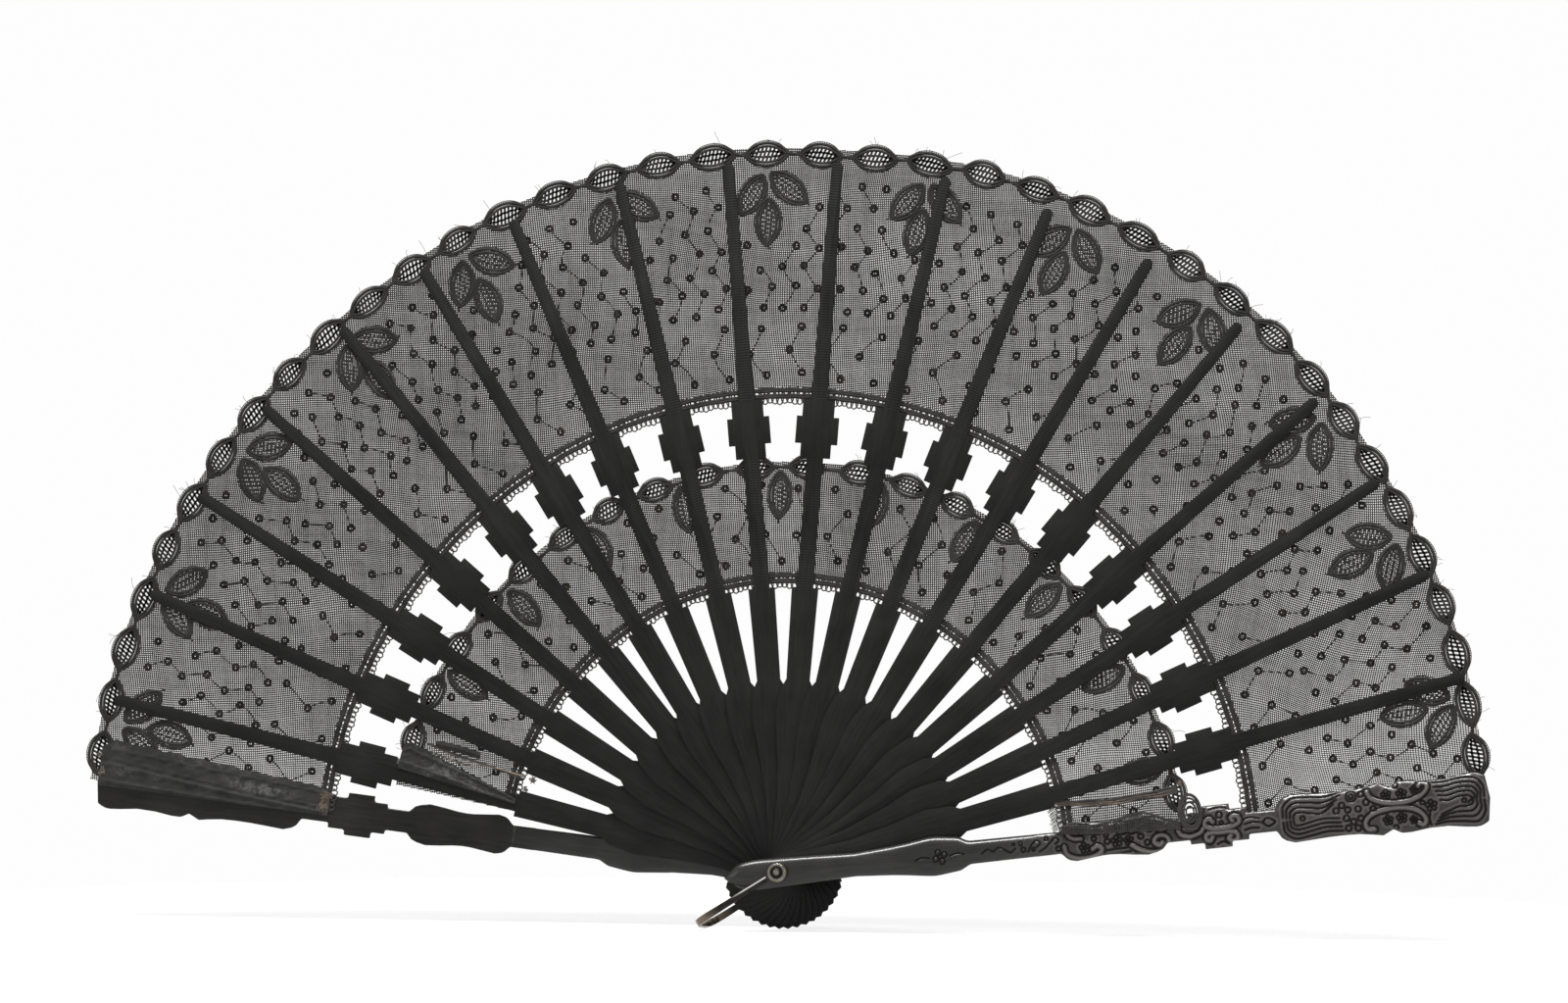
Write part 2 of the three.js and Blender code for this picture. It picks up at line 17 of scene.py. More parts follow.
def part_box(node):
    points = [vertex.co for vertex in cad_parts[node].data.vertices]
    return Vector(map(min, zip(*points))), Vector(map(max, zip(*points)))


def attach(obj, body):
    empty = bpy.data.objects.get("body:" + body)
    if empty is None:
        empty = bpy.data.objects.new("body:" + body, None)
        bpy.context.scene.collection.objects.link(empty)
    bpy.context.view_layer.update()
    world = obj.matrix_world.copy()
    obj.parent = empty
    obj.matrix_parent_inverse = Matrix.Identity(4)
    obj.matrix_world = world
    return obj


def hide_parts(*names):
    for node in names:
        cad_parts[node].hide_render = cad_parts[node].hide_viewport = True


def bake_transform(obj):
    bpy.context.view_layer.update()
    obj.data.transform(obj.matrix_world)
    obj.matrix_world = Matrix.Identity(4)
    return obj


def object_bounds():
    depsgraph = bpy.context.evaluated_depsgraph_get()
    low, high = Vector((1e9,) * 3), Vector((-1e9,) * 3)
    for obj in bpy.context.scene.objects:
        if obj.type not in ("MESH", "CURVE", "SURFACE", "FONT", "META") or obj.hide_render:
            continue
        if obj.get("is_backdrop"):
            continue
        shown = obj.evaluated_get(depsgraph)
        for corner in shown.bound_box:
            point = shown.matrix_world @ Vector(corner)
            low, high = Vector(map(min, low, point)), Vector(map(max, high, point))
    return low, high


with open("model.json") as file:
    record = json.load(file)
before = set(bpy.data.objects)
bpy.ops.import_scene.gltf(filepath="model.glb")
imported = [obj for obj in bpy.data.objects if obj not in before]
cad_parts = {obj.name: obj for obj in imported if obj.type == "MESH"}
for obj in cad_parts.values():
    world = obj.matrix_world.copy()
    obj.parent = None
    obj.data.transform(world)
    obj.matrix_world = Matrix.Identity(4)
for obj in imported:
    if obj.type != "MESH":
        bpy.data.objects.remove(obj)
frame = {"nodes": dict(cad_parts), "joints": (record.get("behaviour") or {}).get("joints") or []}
cad_low, cad_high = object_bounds()
print("frame nodes", len(frame["nodes"]), "box", [round(v, 4) for v in cad_high - cad_low])

# %% [markdown]
# The joints say how far each blade folds down onto its neighbour, so the angles of all blades follow from
# the rear guard's angle. Blade 0 is the front guard, blades 1 to 18 are the sticks, and blade 19 is the rear
# guard.

# %% Angles and levels of the blades
MM = 0.001
STICK_COUNT = 18
LAST_BLADE = STICK_COUNT + 1
REAR_GUARD_ANGLE = 173.25

body_names = ["front_side"] + [f"blade_{number:02d}" for number in range(1, LAST_BLADE)] + ["rear_side"]
fold_of = {joint["child"]: joint["range_deg"][1] for joint in frame["joints"]}
blade_angles = [REAR_GUARD_ANGLE]
for name in reversed(body_names[:-1]):
    blade_angles.insert(0, blade_angles[0] - fold_of[name])
stick_names = [f"stick_{number:02d}" for number in range(1, LAST_BLADE)]
slip_fronts = [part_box(name)[0].y for name in stick_names]
print("blade angles", [round(angle, 2) for angle in blade_angles])

# %% [markdown]
# Stations along a blade, measured from the rivet, and the levels of the lace. They repeat the sizes
# that the solids were made from, in metres.

# %% Stations and lace levels
SHANK_END = 96 * MM
BLOCK_START = 139.7 * MM
BLOCK_END = 159.4 * MM
STICK_TIP = 240 * MM
SLIP_HALF = 2.8 * MM
BLOCK_FOOT_HALF = 5.15 * MM
BLOCK_TOP_HALF = 5.4 * MM
LACE_BEHIND_SLIP = 0.725 * MM
LACE_AT_GUARD = 9.175 * MM
LACE_STEP = 4.2 * MM
STEP_MARGIN = 0.45 * MM
GUARD_SILK_REACH = 14.8 * MM

lace_levels = [-LACE_AT_GUARD] + [front + LACE_BEHIND_SLIP for front in slip_fronts] + [LACE_AT_GUARD]


def sweep(width, radius):
    """The angle in degrees that a width takes up at a radius."""
    return math.degrees(width / radius)


def lace_steps(inner_radius, cover_half):
    """The angles where the lace starts and ends its step back to the next blade's layer, gap by gap."""
    steps = []
    for blade in range(1, LAST_BLADE + 1):
        cover, radius = (cover_half, inner_radius) if blade < LAST_BLADE else (GUARD_SILK_REACH, STICK_TIP)
        end = blade_angles[blade] - sweep(cover + STEP_MARGIN, radius)
        earliest = blade_angles[blade - 1] + sweep(SLIP_HALF + STEP_MARGIN / 3, inner_radius)
        steps.append((max(end - sweep(LACE_STEP, inner_radius), earliest), end))
    return steps


# %% [markdown]
# Some steps come up again and again: adding an object, choosing one piece, and building the nodes of a
# material. Each of them gets a short helper.

# %% Helpers for objects and for node trees


def put(name, data):
    """A new object in the scene."""
    made = bpy.data.objects.new(name, data)
    bpy.context.scene.collection.objects.link(made)
    return made


def only(piece):
    """Deselects everything and makes one piece the active, selected one."""
    if bpy.context.mode != "OBJECT":
        bpy.ops.object.mode_set(mode="OBJECT")
    bpy.ops.object.select_all(action="DESELECT")
    piece.select_set(True)
    bpy.context.view_layer.objects.active = piece


def turn_outward(piece, merge_distance=0):
    """Turns all faces of a piece outward, once points nearer than the merge distance are merged."""
    only(piece)
    bpy.ops.object.mode_set(mode="EDIT")
    bpy.ops.mesh.select_all(action="SELECT")
    if merge_distance:
        bpy.ops.mesh.remove_doubles(threshold=merge_distance)
    bpy.ops.mesh.normals_make_consistent(inside=False)
    bpy.ops.object.mode_set(mode="OBJECT")


def mark(piece, name, values):
    """Stores one value for each point of a mesh, for the materials."""
    attribute = piece.data.attributes.new(name, "FLOAT", "POINT")
    attribute.data.foreach_set("value", np.asarray(values, np.float32))


def new_material(name):
    """A material with its node tree and its Principled shader."""
    material = bpy.data.materials.new(name)
    material.use_nodes = True
    tree = material.node_tree
    return material, tree, tree.nodes["Principled BSDF"]


def set_inputs(tree, made, inputs):
    """Sets inputs of a node by name, or by place as _0. Each gets a value, or a link from an output."""
    for key, value in inputs.items():
        socket = made.inputs[int(key[1:])] if key[0] == "_" else made.inputs[key.replace("_", " ")]
        if isinstance(value, bpy.types.NodeSocket):
            tree.links.new(value, socket)
        else:
            socket.default_value = value


def node(tree, kind, settings=None, **inputs):
    """A shader node; settings are its own properties, inputs its sockets."""
    made = tree.nodes.new("ShaderNode" + kind)
    for key, value in (settings or {}).items():
        setattr(made, key, value)
    set_inputs(tree, made, inputs)
    return made


def maths(tree, operation, *values):
    inputs = {f"_{place}": value for place, value in enumerate(values)}
    return node(tree, "Math", {"operation": operation}, **inputs).outputs[0]


def mixed(tree, share, first, second, blend="MIX"):
    """Two colours mixed; each is an output or (red, green, blue)."""
    first, second = ((*colour, 1) if isinstance(colour, tuple) else colour for colour in (first, second))
    settings = {"data_type": "RGBA", "blend_type": blend}
    return node(tree, "Mix", settings, _0=share, _6=first, _7=second).outputs[2]


def ranged(tree, value, from_low, from_high, to_low=0.0, to_high=1.0):
    """A value carried from one range to another and held there."""
    return node(tree, "MapRange", Value=value, From_Min=from_low, From_Max=from_high,
                To_Min=to_low, To_Max=to_high).outputs[0]


def noise(tree, place, scale, detail=2.0, roughness=0.5):
    texture = node(tree, "TexNoise", Vector=place, Scale=scale, Detail=detail, Roughness=roughness)
    return texture.outputs["Fac"]


def stretched(tree, place, scale):
    return node(tree, "Mapping", Vector=place, Scale=scale).outputs[0]


def bump(tree, height, distance, strength):
    return node(tree, "Bump", Height=height, Distance=distance, Strength=strength).outputs[0]


def marked(tree, name):
    """The value of one of the mesh's attributes."""
    return node(tree, "Attribute", {"attribute_name": name}).outputs["Fac"]


def object_place(tree):
    return node(tree, "TexCoord").outputs["Object"]


def distance_from_origin(tree, place):
    return node(tree, "VectorMath", {"operation": "LENGTH"}, _0=place).outputs["Value"]


# %% [markdown]
# The camera stands four metres off, a little to the right, and looks through a long lens. In the photograph
# the fan leans back a little, so in the fan's own upright frame the camera sits low and looks slightly up.

# %% Camera
CAMERA_DISTANCE = 4.0
CAMERA_YAW = math.radians(-10.04)
CAMERA_PITCH = math.radians(-2.57)
CAMERA_ROLL = math.radians(0.98)
CAMERA_SHIFT = (-1.8 * MM, -124.2 * MM)
LENS_LENGTH = 274.3
SENSOR_WIDTH = 36
FIT_ORIGIN = Vector((0, -9.5 * MM, 0))

turn = (
    Matrix.Rotation(CAMERA_PITCH, 3, "X")
    @ Matrix.Rotation(CAMERA_ROLL, 3, "Y")
    @ Matrix.Rotation(CAMERA_YAW, 3, "Z")
)
to_world = turn.transposed()
camera_data = bpy.data.cameras.new("camera")
camera_data.lens = LENS_LENGTH
camera_data.sensor_width = SENSOR_WIDTH
camera_data.clip_start = 0.1
camera_data.clip_end = 100
camera = put("camera", camera_data)
camera_place = FIT_ORIGIN - to_world @ Vector((CAMERA_SHIFT[0], CAMERA_DISTANCE, CAMERA_SHIFT[1]))
right, ahead, up = (to_world @ Vector(axis) for axis in ((1, 0, 0), (0, 1, 0), (0, 0, 1)))
camera_turn = Matrix((right, up, -ahead)).transposed().to_4x4()
camera.matrix_world = Matrix.Translation(camera_place) @ camera_turn
bpy.context.scene.camera = camera
print("camera at", [round(v, 3) for v in camera_place])

# %% [markdown]
# The fan stands on a plain white floor before a white background. The background is the world's own colour,
# which camera, glossy and clear rays see as white. The floor shows nearly all of that white by its own light
# and adds a little lit white, so that the fan's soft shadow stays on it. It leans as the photograph's floor
# leans against the fan's frame, and it fades into the background before its edges.

# %% Floor
FLOOR_LEVEL = cad_low.z - 0.4 * MM
FLOOR_LEAN = math.radians(5.5)
FLOOR_SIZE = 1.5
FLOOR_CENTRE_Y = -0.26
FLOOR_FADE = (0.3, 0.48)
BACKGROUND_WHITE = 0.985
FLOOR_LIT_SHARE = 0.2


def seen_directly(tree):
    """1 for camera, glossy and transmission rays, 0 for the rest."""
    path = node(tree, "LightPath")
    glossy_too = maths(tree, "MAXIMUM", path.outputs["Is Camera Ray"], path.outputs["Is Glossy Ray"])
    return maths(tree, "MAXIMUM", glossy_too, path.outputs["Is Transmission Ray"])


def floor_material():
    material, tree, shader = new_material("floor_white")
    set_inputs(tree, shader, {"Base Color": (0.8, 0.8, 0.8, 1), "Roughness": 0.9})
    own_light = node(tree, "Emission", Color=(1, 1, 1, 1), Strength=BACKGROUND_WHITE * (1 - FLOOR_LIT_SHARE))
    lit_white = node(tree, "BsdfDiffuse", Color=(FLOOR_LIT_SHARE, FLOOR_LIT_SHARE, FLOOR_LIT_SHARE, 1))
    seen_white = node(tree, "AddShader", _0=own_light.outputs[0], _1=lit_white.outputs[0])
    white = node(tree, "MixShader", Fac=seen_directly(tree), _1=shader.outputs[0], _2=seen_white.outputs[0])
    fade = ranged(tree, distance_from_origin(tree, object_place(tree)), *FLOOR_FADE)
    clear = node(tree, "BsdfTransparent")
    faded = node(tree, "MixShader", Fac=fade, _1=white.outputs[0], _2=clear.outputs[0])
    tree.links.new(faded.outputs[0], tree.nodes["Material Output"].inputs["Surface"])
    return material


floor_place = (0, FLOOR_CENTRE_Y, FLOOR_LEVEL + FLOOR_CENTRE_Y * math.tan(FLOOR_LEAN))
bpy.ops.object.select_all(action="DESELECT")
bpy.ops.mesh.primitive_plane_add(size=FLOOR_SIZE, rotation=(FLOOR_LEAN, 0, 0), location=floor_place)
floor = bpy.context.object
floor.name = "floor"
floor.data.materials.append(floor_material())
floor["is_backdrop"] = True
print("floor at", [round(v, 4) for v in floor_place])

# %% [markdown]
# The light is even: the world itself, a weak lamp overhead, one at each side, and a strong narrow lamp above
# that draws the bright upper edges.

# %% Studio light
WORLD_LIGHT = 0.55

world = bpy.data.worlds.new("studio")
bpy.context.scene.world = world
world.use_nodes = True
world_tree = world.node_tree
sky_seen = ranged(world_tree, seen_directly(world_tree), 0.0, 1.0, WORLD_LIGHT, BACKGROUND_WHITE)
set_inputs(world_tree, world_tree.nodes["Background"], {"Color": (1, 1, 1, 1), "Strength": sky_seen})


def soft_lamp(name, size, place, aim, power):
    lamp = bpy.data.lights.new(name, "AREA")
    lamp.shape = "RECTANGLE"
    lamp.size, lamp.size_y = size
    lamp.energy = power
    holder = put(name, lamp)
    holder.location = place
    holder.rotation_euler = (Vector(aim) - Vector(place)).to_track_quat("-Z", "Y").to_euler()


soft_lamp("overhead_lamp", (1.6, 1.0), (-0.1, -0.5, 1.5), aim=(0, 0, 0.1), power=3)
soft_lamp("rim_lamp", (1.5, 0.2), (0, -0.35, 1.45), aim=(0, 0, 0), power=60)
soft_lamp("left_lamp", (0.8, 1.2), (-1.6, -1.4, 0.7), aim=(0, 0, 0.1), power=6)
soft_lamp("right_lamp", (0.8, 1.2), (1.7, -1.2, 0.6), aim=(0, 0, 0.1), power=6)
bpy.context.scene.view_settings.view_transform = "Standard"
print("lamps", len(bpy.data.lights))

# %% [markdown]
# Ebonised wood is a close-grained wood stained black and rubbed with a little wax. Its grain runs along
# the blade, so each blade carries an attribute with its own along and across coordinates. The thin slips
# behind the lace have fine ribs across them.

# %% Ebonised wood
GRAIN_SCALE = (90, 1500, 400)
RIB_PITCH = 0.9 * MM


def blade_place(tree):
    """The blade's own coordinates: X along, Y across, Z through the stack, in metres."""
    return node(tree, "Attribute", {"attribute_name": "blade_place"}).outputs["Vector"]


def wood_material(name, dark, light, rough, gloss_change, specular, rib_height, bump_strength):
    material, tree, shader = new_material(name)
    place = blade_place(tree)
    grain = noise(tree, stretched(tree, place, GRAIN_SCALE), 1.0, 5.0, 0.6)
    clouds = noise(tree, place, 55.0, 3.0, 0.55)
    share = ranged(tree, maths(tree, "MULTIPLY_ADD", clouds, 0.9, grain), 0.65, 1.25)
    along = node(tree, "SeparateXYZ", Vector=place).outputs[0]
    ribs = maths(tree, "SINE", maths(tree, "MULTIPLY", along, 2 * math.pi / RIB_PITCH))
    past_shank = maths(tree, "GREATER_THAN", along, SHANK_END)
    before_block = maths(tree, "LESS_THAN", along, BLOCK_START)
    past_block = maths(tree, "GREATER_THAN", along, BLOCK_END)
    on_slip = maths(tree, "MAXIMUM", maths(tree, "MULTIPLY", past_shank, before_block), past_block)
    height = maths(tree, "MULTIPLY_ADD", maths(tree, "MULTIPLY", on_slip, ribs), rib_height, grain)
    set_inputs(tree, shader, {
        "Base Color": mixed(tree, share, dark, light),
        "Roughness": ranged(tree, clouds, 0.3, 0.7, rough - gloss_change, rough + gloss_change),
        "Specular IOR Level": specular,
        "Normal": bump(tree, height, 0.04 * MM, bump_strength),
    })
    return material


ebonised_wood = wood_material("ebonised_wood", (0.003, 0.0029, 0.0028), (0.0096, 0.0092, 0.0088),
                              rough=0.56, gloss_change=0.07, specular=0.09, rib_height=0.9,
                              bump_strength=0.7)

# %% [markdown]
# Each stick is cut from thin stock: a swelling gorge near the rivet, a straight shank, a thin slip behind
# the inner lace, a stepped block, and a tapering slip behind the outer lace. The solid has that outline
# already, so a merged copy of it gets the small rounded arris that sandpaper leaves.

# %% Copies of nodes and their own coordinates


def merged_copy(node_name, piece_name):
    """A copy of a node's mesh as a new piece, its loose triangles merged and its flat faces whole."""
    piece = put(piece_name, frame["nodes"][node_name].data.copy())
    piece.data.materials.clear()
    only(piece)
    bpy.ops.mesh.customdata_custom_splitnormals_clear()
    bpy.ops.object.mode_set(mode="EDIT")
    bpy.ops.mesh.select_all(action="SELECT")
    bpy.ops.mesh.remove_doubles(threshold=2e-6)
    bpy.ops.mesh.dissolve_limited(angle_limit=math.radians(2))
    bpy.ops.mesh.select_all(action="DESELECT")
    bpy.ops.object.mode_set(mode="OBJECT")
    return piece


def vertex_places(mesh):
    flat = np.empty(len(mesh.vertices) * 3, np.float32)
    mesh.vertices.foreach_get("co", flat)
    return flat.reshape(-1, 3).astype(float)


def in_blade(points, angle):
    """Points as (along, across, level) of the blade at that angle."""
    c, s = math.cos(math.radians(angle)), math.sin(math.radians(angle))
    along = points[:, 0] * c + points[:, 2] * s
    across = points[:, 2] * c - points[:, 0] * s
    return np.stack([along, across, points[:, 1]], axis=1)


def mark_blade_place(piece, angle):
    mesh = piece.data
    places = in_blade(vertex_places(mesh), angle)
    attribute = mesh.attributes.new("blade_place", "FLOAT_VECTOR", "POINT")
    attribute.data.foreach_set("vector", places.astype(np.float32).ravel())


# %% Sticks
STICK_ARRIS = 0.12 * MM


def round_arris(piece, width, segments):
    only(piece)
    bevel = piece.modifiers.new("arris", "BEVEL")
    bevel.width = width
    bevel.segments = segments
    bevel.limit_method = "ANGLE"
    bevel.angle_limit = math.radians(35)
    bevel.harden_normals = False
    bpy.ops.object.modifier_apply(modifier=bevel.name)
    bpy.ops.object.shade_smooth_by_angle(angle=math.radians(40))


for number, stick_name in enumerate(stick_names, start=1):
    stick = merged_copy(stick_name, f"dressed_{stick_name}")
    round_arris(stick, STICK_ARRIS, 2)
    mark_blade_place(stick, blade_angles[number])
    stick.data.materials.append(ebonised_wood)
    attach(stick, body_names[number])
    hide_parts(stick_name)
print("sticks", len(stick_names), "faces each", len(stick.data.polygons))

# %% [markdown]
# The guards are stouter. Their outer faces are rounded over and carved with scrolls, blossoms and flowing
# lines, and their inner faces stay plain. A carver cuts such lines with a gouge along a drawn pattern. Here
# the pattern is a list of curves in the guard's own coordinates, and the depth follows from the distance to
# them.

# %% Curves of the carving, in millimetres along and across the guard


def curve(*corners):
    """A smooth line through corner points."""
    points = np.array(corners, float)
    ends = np.vstack([2 * points[0] - points[1], points, 2 * points[-1] - points[-2]])
    t = np.linspace(0, 1, 40, endpoint=False)[:, None]
    parts = []
    for a, b, c, d in zip(ends, ends[1:], ends[2:], ends[3:]):
        parts.append(b + 0.5 * t * (c - a + t * (2 * a - 5 * b + 4 * c - d + t * (3 * (b - c) + d - a))))
    return np.vstack([*parts, points[-1:]])


def ring(along, across, radius):
    turns = np.linspace(0, 2 * math.pi, 40)
    return np.stack([along + radius * np.cos(turns), across + radius * np.sin(turns)], axis=1)


def blossom(along, across, radius, petals=5):
    lines = [ring(along, across, radius * 0.26)]
    for petal in range(petals):
        turn = 2 * math.pi * petal / petals + 0.4
        reach = radius * 0.66
        lines.append(ring(along + reach * math.cos(turn), across + reach * math.sin(turn), radius * 0.36))
    return lines


def bundle(first, last, count):
    """Lines that flow side by side from one curve to another."""
    return [first * (1 - share) + last * share for share in np.linspace(0, 1, count)]


# %% [markdown]
# The raised cords are scrolls that stand up from the face. The cut lines are the gouge's grooves: blossoms,
# berries and bundles of flowing lines.

# %% Pattern of the carving
raised_cords = [
    curve((97.4, -1.6), (98.2, -4.2), (101.5, -5.7), (105.5, -5.8), (108.8, -4.9), (110.0, -3.4),
          (108.4, -2.4), (106.9, -3.2)),
    curve((103.2, 0.6), (100.6, 0.9), (98.9, 2.6), (100.4, 4.6), (103.2, 4.2), (103.4, 2.8)),
    curve((105.0, 4.0), (107.8, 2.8), (111.2, 3.2), (114.2, 4.2), (117.4, 3.6), (118.2, 2.1), (116.6, 1.8)),
    curve((120.0, -3.2), (122.6, -5.0), (126.2, -6.1), (130.2, -6.0), (132.6, -3.6), (131.6, -1.3),
          (128.9, -1.1), (127.7, -3.0), (129.2, -4.2), (130.4, -3.4)),
    curve((120.4, 1.6), (123.8, 3.5), (128.0, 4.4), (131.4, 3.3), (131.8, 1.6), (130.0, 1.1), (129.2, 2.4)),
    curve((136.0, -0.2), (137.2, -1.8), (140.3, -2.4), (143.4, -1.5), (144.4, -0.3)),
    curve((147.9, 1.5), (146.9, 2.6), (145.4, 2.2), (145.1, 0.7), (146.8, -0.5), (150.1, -0.9),
          (153.8, -0.6), (156.4, 0.4), (156.7, 1.9), (155.4, 2.9), (154.0, 2.4), (154.5, 1.3)),
    curve((147.4, -3.5), (146.5, -4.6), (145.2, -3.9), (145.4, -2.5), (147.4, -2.0), (150.0, -2.2),
          (153.2, -2.1), (155.4, -2.8), (155.8, -4.4), (154.2, -5.3), (152.7, -4.4), (153.6, -3.5)),
    curve((200.0, 6.2), (201.4, 3.8), (205.2, 2.0), (209.6, 1.4), (213.8, 1.6), (217.6, 2.9),
          (220.0, 4.9), (220.0, 6.7), (218.2, 7.3), (217.3, 6.2)),
    curve((201.6, -6.5), (199.4, -6.2), (198.8, -4.0), (200.8, -1.8), (204.8, -0.6), (210.0, -0.2),
          (214.6, -1.0), (217.8, -2.8), (219.0, -5.3), (218.0, -6.6), (216.6, -6.0)),
]
cut_lines = [
    *blossom(55.3, -0.5, 2.5, 4),
    curve((46.8, -0.9), (49.2, -0.2), (51.8, -0.6)),
    curve((58.8, -0.4), (61.2, 0.1), (63.6, -0.4)),
    curve((69.6, -0.8), (71.6, 0.3), (73.4, -0.5), (75.2, 0.5), (77.2, -0.3), (79.2, -1.4), (81.0, -0.4)),
    ring(82.8, 1.0, 0.6), ring(83.6, -1.0, 0.75), ring(80.4, 0.9, 0.45),
    curve((85.2, -1.8), (86.4, 0.2), (88.2, 1.5), (89.4, 0.4), (88.2, -0.6)),
    curve((89.0, -2.2), (91.0, -1.2), (92.8, 0.4), (94.6, 1.8), (95.8, 0.8), (94.6, -0.2)),
    ring(91.6, 1.7, 0.6), ring(95.4, -1.9, 0.8), ring(87.0, -1.2, 0.5),
    *blossom(104.2, -2.6, 1.7), *blossom(115.2, -1.4, 1.9), *blossom(119.2, -1.6, 1.6),
    ring(112.0, -1.2, 0.9), ring(111.8, 1.0, 0.7), ring(123.4, -0.6, 0.9), ring(125.4, -2.9, 0.9),
    ring(122.6, 1.4, 0.6), ring(107.6, 0.2, 0.8), ring(126.6, 1.6, 0.9),
    *bundle(curve((110.6, -5.4), (114.6, -5.4), (119.6, -5.2)),
            curve((111.2, -4.1), (114.8, -3.9), (118.6, -3.9)), 2),
    curve((134.0, 1.6), (137.0, 1.0), (140.4, 1.4), (143.6, 2.4)),
    ring(150.8, 0.9, 0.6), ring(150.2, 3.6, 1.0),
    curve((147.0, 5.6), (150.2, 6.2), (153.4, 5.4)), curve((148.8, -5.9), (150.8, -5.2), (152.6, -6.1)),
    curve((157.8, 1.2), (160.4, 1.7), (163.4, 1.1)), curve((158.6, -0.3), (161.0, 0.1), (163.6, -0.2)),
    curve((158.4, -2.2), (160.6, -1.7), (163.2, -1.9)),
    curve((164.4, -0.3), (166.2, 0.9), (168.8, -0.5), (166.4, -1.7), (164.4, -0.3)),
    *bundle(curve((171.4, 0.4), (171.8, 4.0), (174.8, 6.4), (180.6, 6.3), (186.0, 5.9), (192.0, 7.2)),
            curve((175.0, -0.4), (175.3, 1.1), (177.4, 1.6), (180.4, 1.1), (184.4, 0.6), (188.6, 3.2)), 4),
    *bundle(curve((171.4, -1.2), (171.9, -4.6), (175.2, -6.8), (181.0, -6.2), (186.0, -5.5), (191.2, -5.8)),
            curve((174.9, -0.9), (175.3, -2.4), (177.4, -2.6), (181.0, -1.9), (185.2, -1.3), (190.2, -1.7)),
            4),
    ring(178.0, -0.5, 0.75),
    ring(194.7, 5.0, 1.7), ring(194.7, 5.0, 0.7), ring(198.0, 5.4, 0.9),
    *(ring(along, across, 0.95) for along, across in (
        (193.3, 0.8), (196.8, 0.7), (199.6, 2.6), (197.4, -2.4), (194.9, -3.3), (192.6, -2.0), (191.4, 2.4),
        (193.0, -5.2), (196.2, -5.5), (189.4, 0.8), (201.8, 0.2))),
    *blossom(206.4, 4.4, 1.6), *blossom(211.6, 4.2, 1.7), *blossom(216.0, 5.2, 1.3),
    *blossom(206.4, -4.0, 1.6), *blossom(211.0, -3.7, 1.7), *blossom(214.9, -4.7, 1.2),
    ring(209.6, 7.2, 0.9), ring(208.8, -6.6, 0.8),
    *blossom(221.2, -0.6, 1.9), curve((220.6, -3.0), (220.2, -5.0), (220.6, -7.0)), ring(218.4, 0.6, 0.7),
    *bundle(curve((222.0, 6.9), (226.0, 6.8), (231.0, 7.5), (236.2, 7.0), (238.8, 4.4), (239.0, 0.6)),
            curve((224.4, 0.9), (227.0, 0.5), (230.4, 1.4), (233.6, 1.5), (234.9, 0.4), (233.6, -0.8)), 5),
    *bundle(curve((222.0, -6.9), (226.0, -6.4), (231.4, -6.8), (236.4, -7.2), (238.9, -4.4), (239.0, -0.6)),
            curve((224.4, -3.9), (227.4, -2.8), (230.4, -1.9), (233.4, -1.9), (235.2, -1.0), (235.0, 0.4)),
            4),
    ring(232.3, -0.1, 0.7),
]

# How closely points are set along a line of the pattern, in millimetres
PATTERN_STEP = 0.12


def tree_of(lines):
    """A search tree of points spaced evenly along lines given in millimetres, itself in metres."""
    points = []
    for line in lines:
        lengths = np.concatenate([[0], np.cumsum(np.hypot(*np.diff(line, axis=0).T))])
        even = np.linspace(0, lengths[-1], max(int(lengths[-1] / PATTERN_STEP), 2))
        points.append(np.stack([np.interp(even, lengths, column) for column in line.T], axis=1))
    points = np.vstack(points) * MM
    tree = KDTree(len(points))
    for index, (along, across) in enumerate(points):
        tree.insert((along, across, 0), index)
    tree.balance()
    return tree


def nearest(tree, places):
    """The distance from each (along, across) place to the nearest point of a tree."""
    return np.array([tree.find((along, across, 0))[2] for along, across in places])


cord_tree, cut_tree = tree_of(raised_cords), tree_of(cut_lines)
print("carved lines", len(raised_cords) + len(cut_lines))

# %% [markdown]
# The guard's solid is remeshed finely, and the carving is pressed into its outer face. The cuts are painted
# darker, grime together with painted shade; the ridges and the rest of the carved face are painted lighter,
# rubbed wear together with a painted highlight; and the grip is smooth and a little glossy from the hand.

# %% Guards
GUARD_EDGE_LEVEL = 0.6 * MM
ROUND_OVER_WIDTH = 2.8 * MM
ROUND_OVER_DEPTH = 1.8 * MM
CROWN_HEIGHT = 0.35 * MM
CROWN_HALF_WIDTH = 6.5 * MM
CORD_HALF_WIDTH = 0.52 * MM
CORD_HEIGHT = 0.2 * MM
CUT_HALF_WIDTH = 0.36 * MM
CUT_DEPTH = 0.62 * MM
PLAIN_BELOW = 0.03
# Share of the ridges' lighter colour and gloss on the plain carved face: wear together with a painted
# highlight.
PLAIN_POLISH_AND_HIGHLIGHT = 0.22
FACE_MARGIN = 0.16 * MM
EDGE_MARGIN = 0.4 * MM
GRIP_END = 88 * MM
GRIP_FADE = (92 * MM, 6 * MM)
EYE_RADIUS = 3.3 * MM
# Colour painted in the cuts: grime together with painted shade.
GROOVE_GRIME_AND_SHADE = (0.004, 0.0035, 0.003)
# Colour painted on the ridges: rubbed wear together with a painted highlight.
RUBBED_WOOD_AND_HIGHLIGHT = (0.055, 0.048, 0.043)


def bell(distance, reach):
    """1 at no distance, falling smoothly to nothing past the reach."""
    return np.exp(-((distance / reach) ** 2))


def edge_tree(piece, angle, outer_level):
    """A search tree of the guard's outline, where its side wall meets the chamfer of its outer face."""
    places = in_blade(vertex_places(piece.data), angle)
    on_line = np.abs(np.abs(places[:, 2] - outer_level) - GUARD_EDGE_LEVEL) < 0.02 * MM
    lines = []
    for edge in piece.data.edges:
        first, second = edge.vertices
        if on_line[first] and on_line[second]:
            lines.append(places[[first, second], :2] / MM)
    return tree_of(lines)


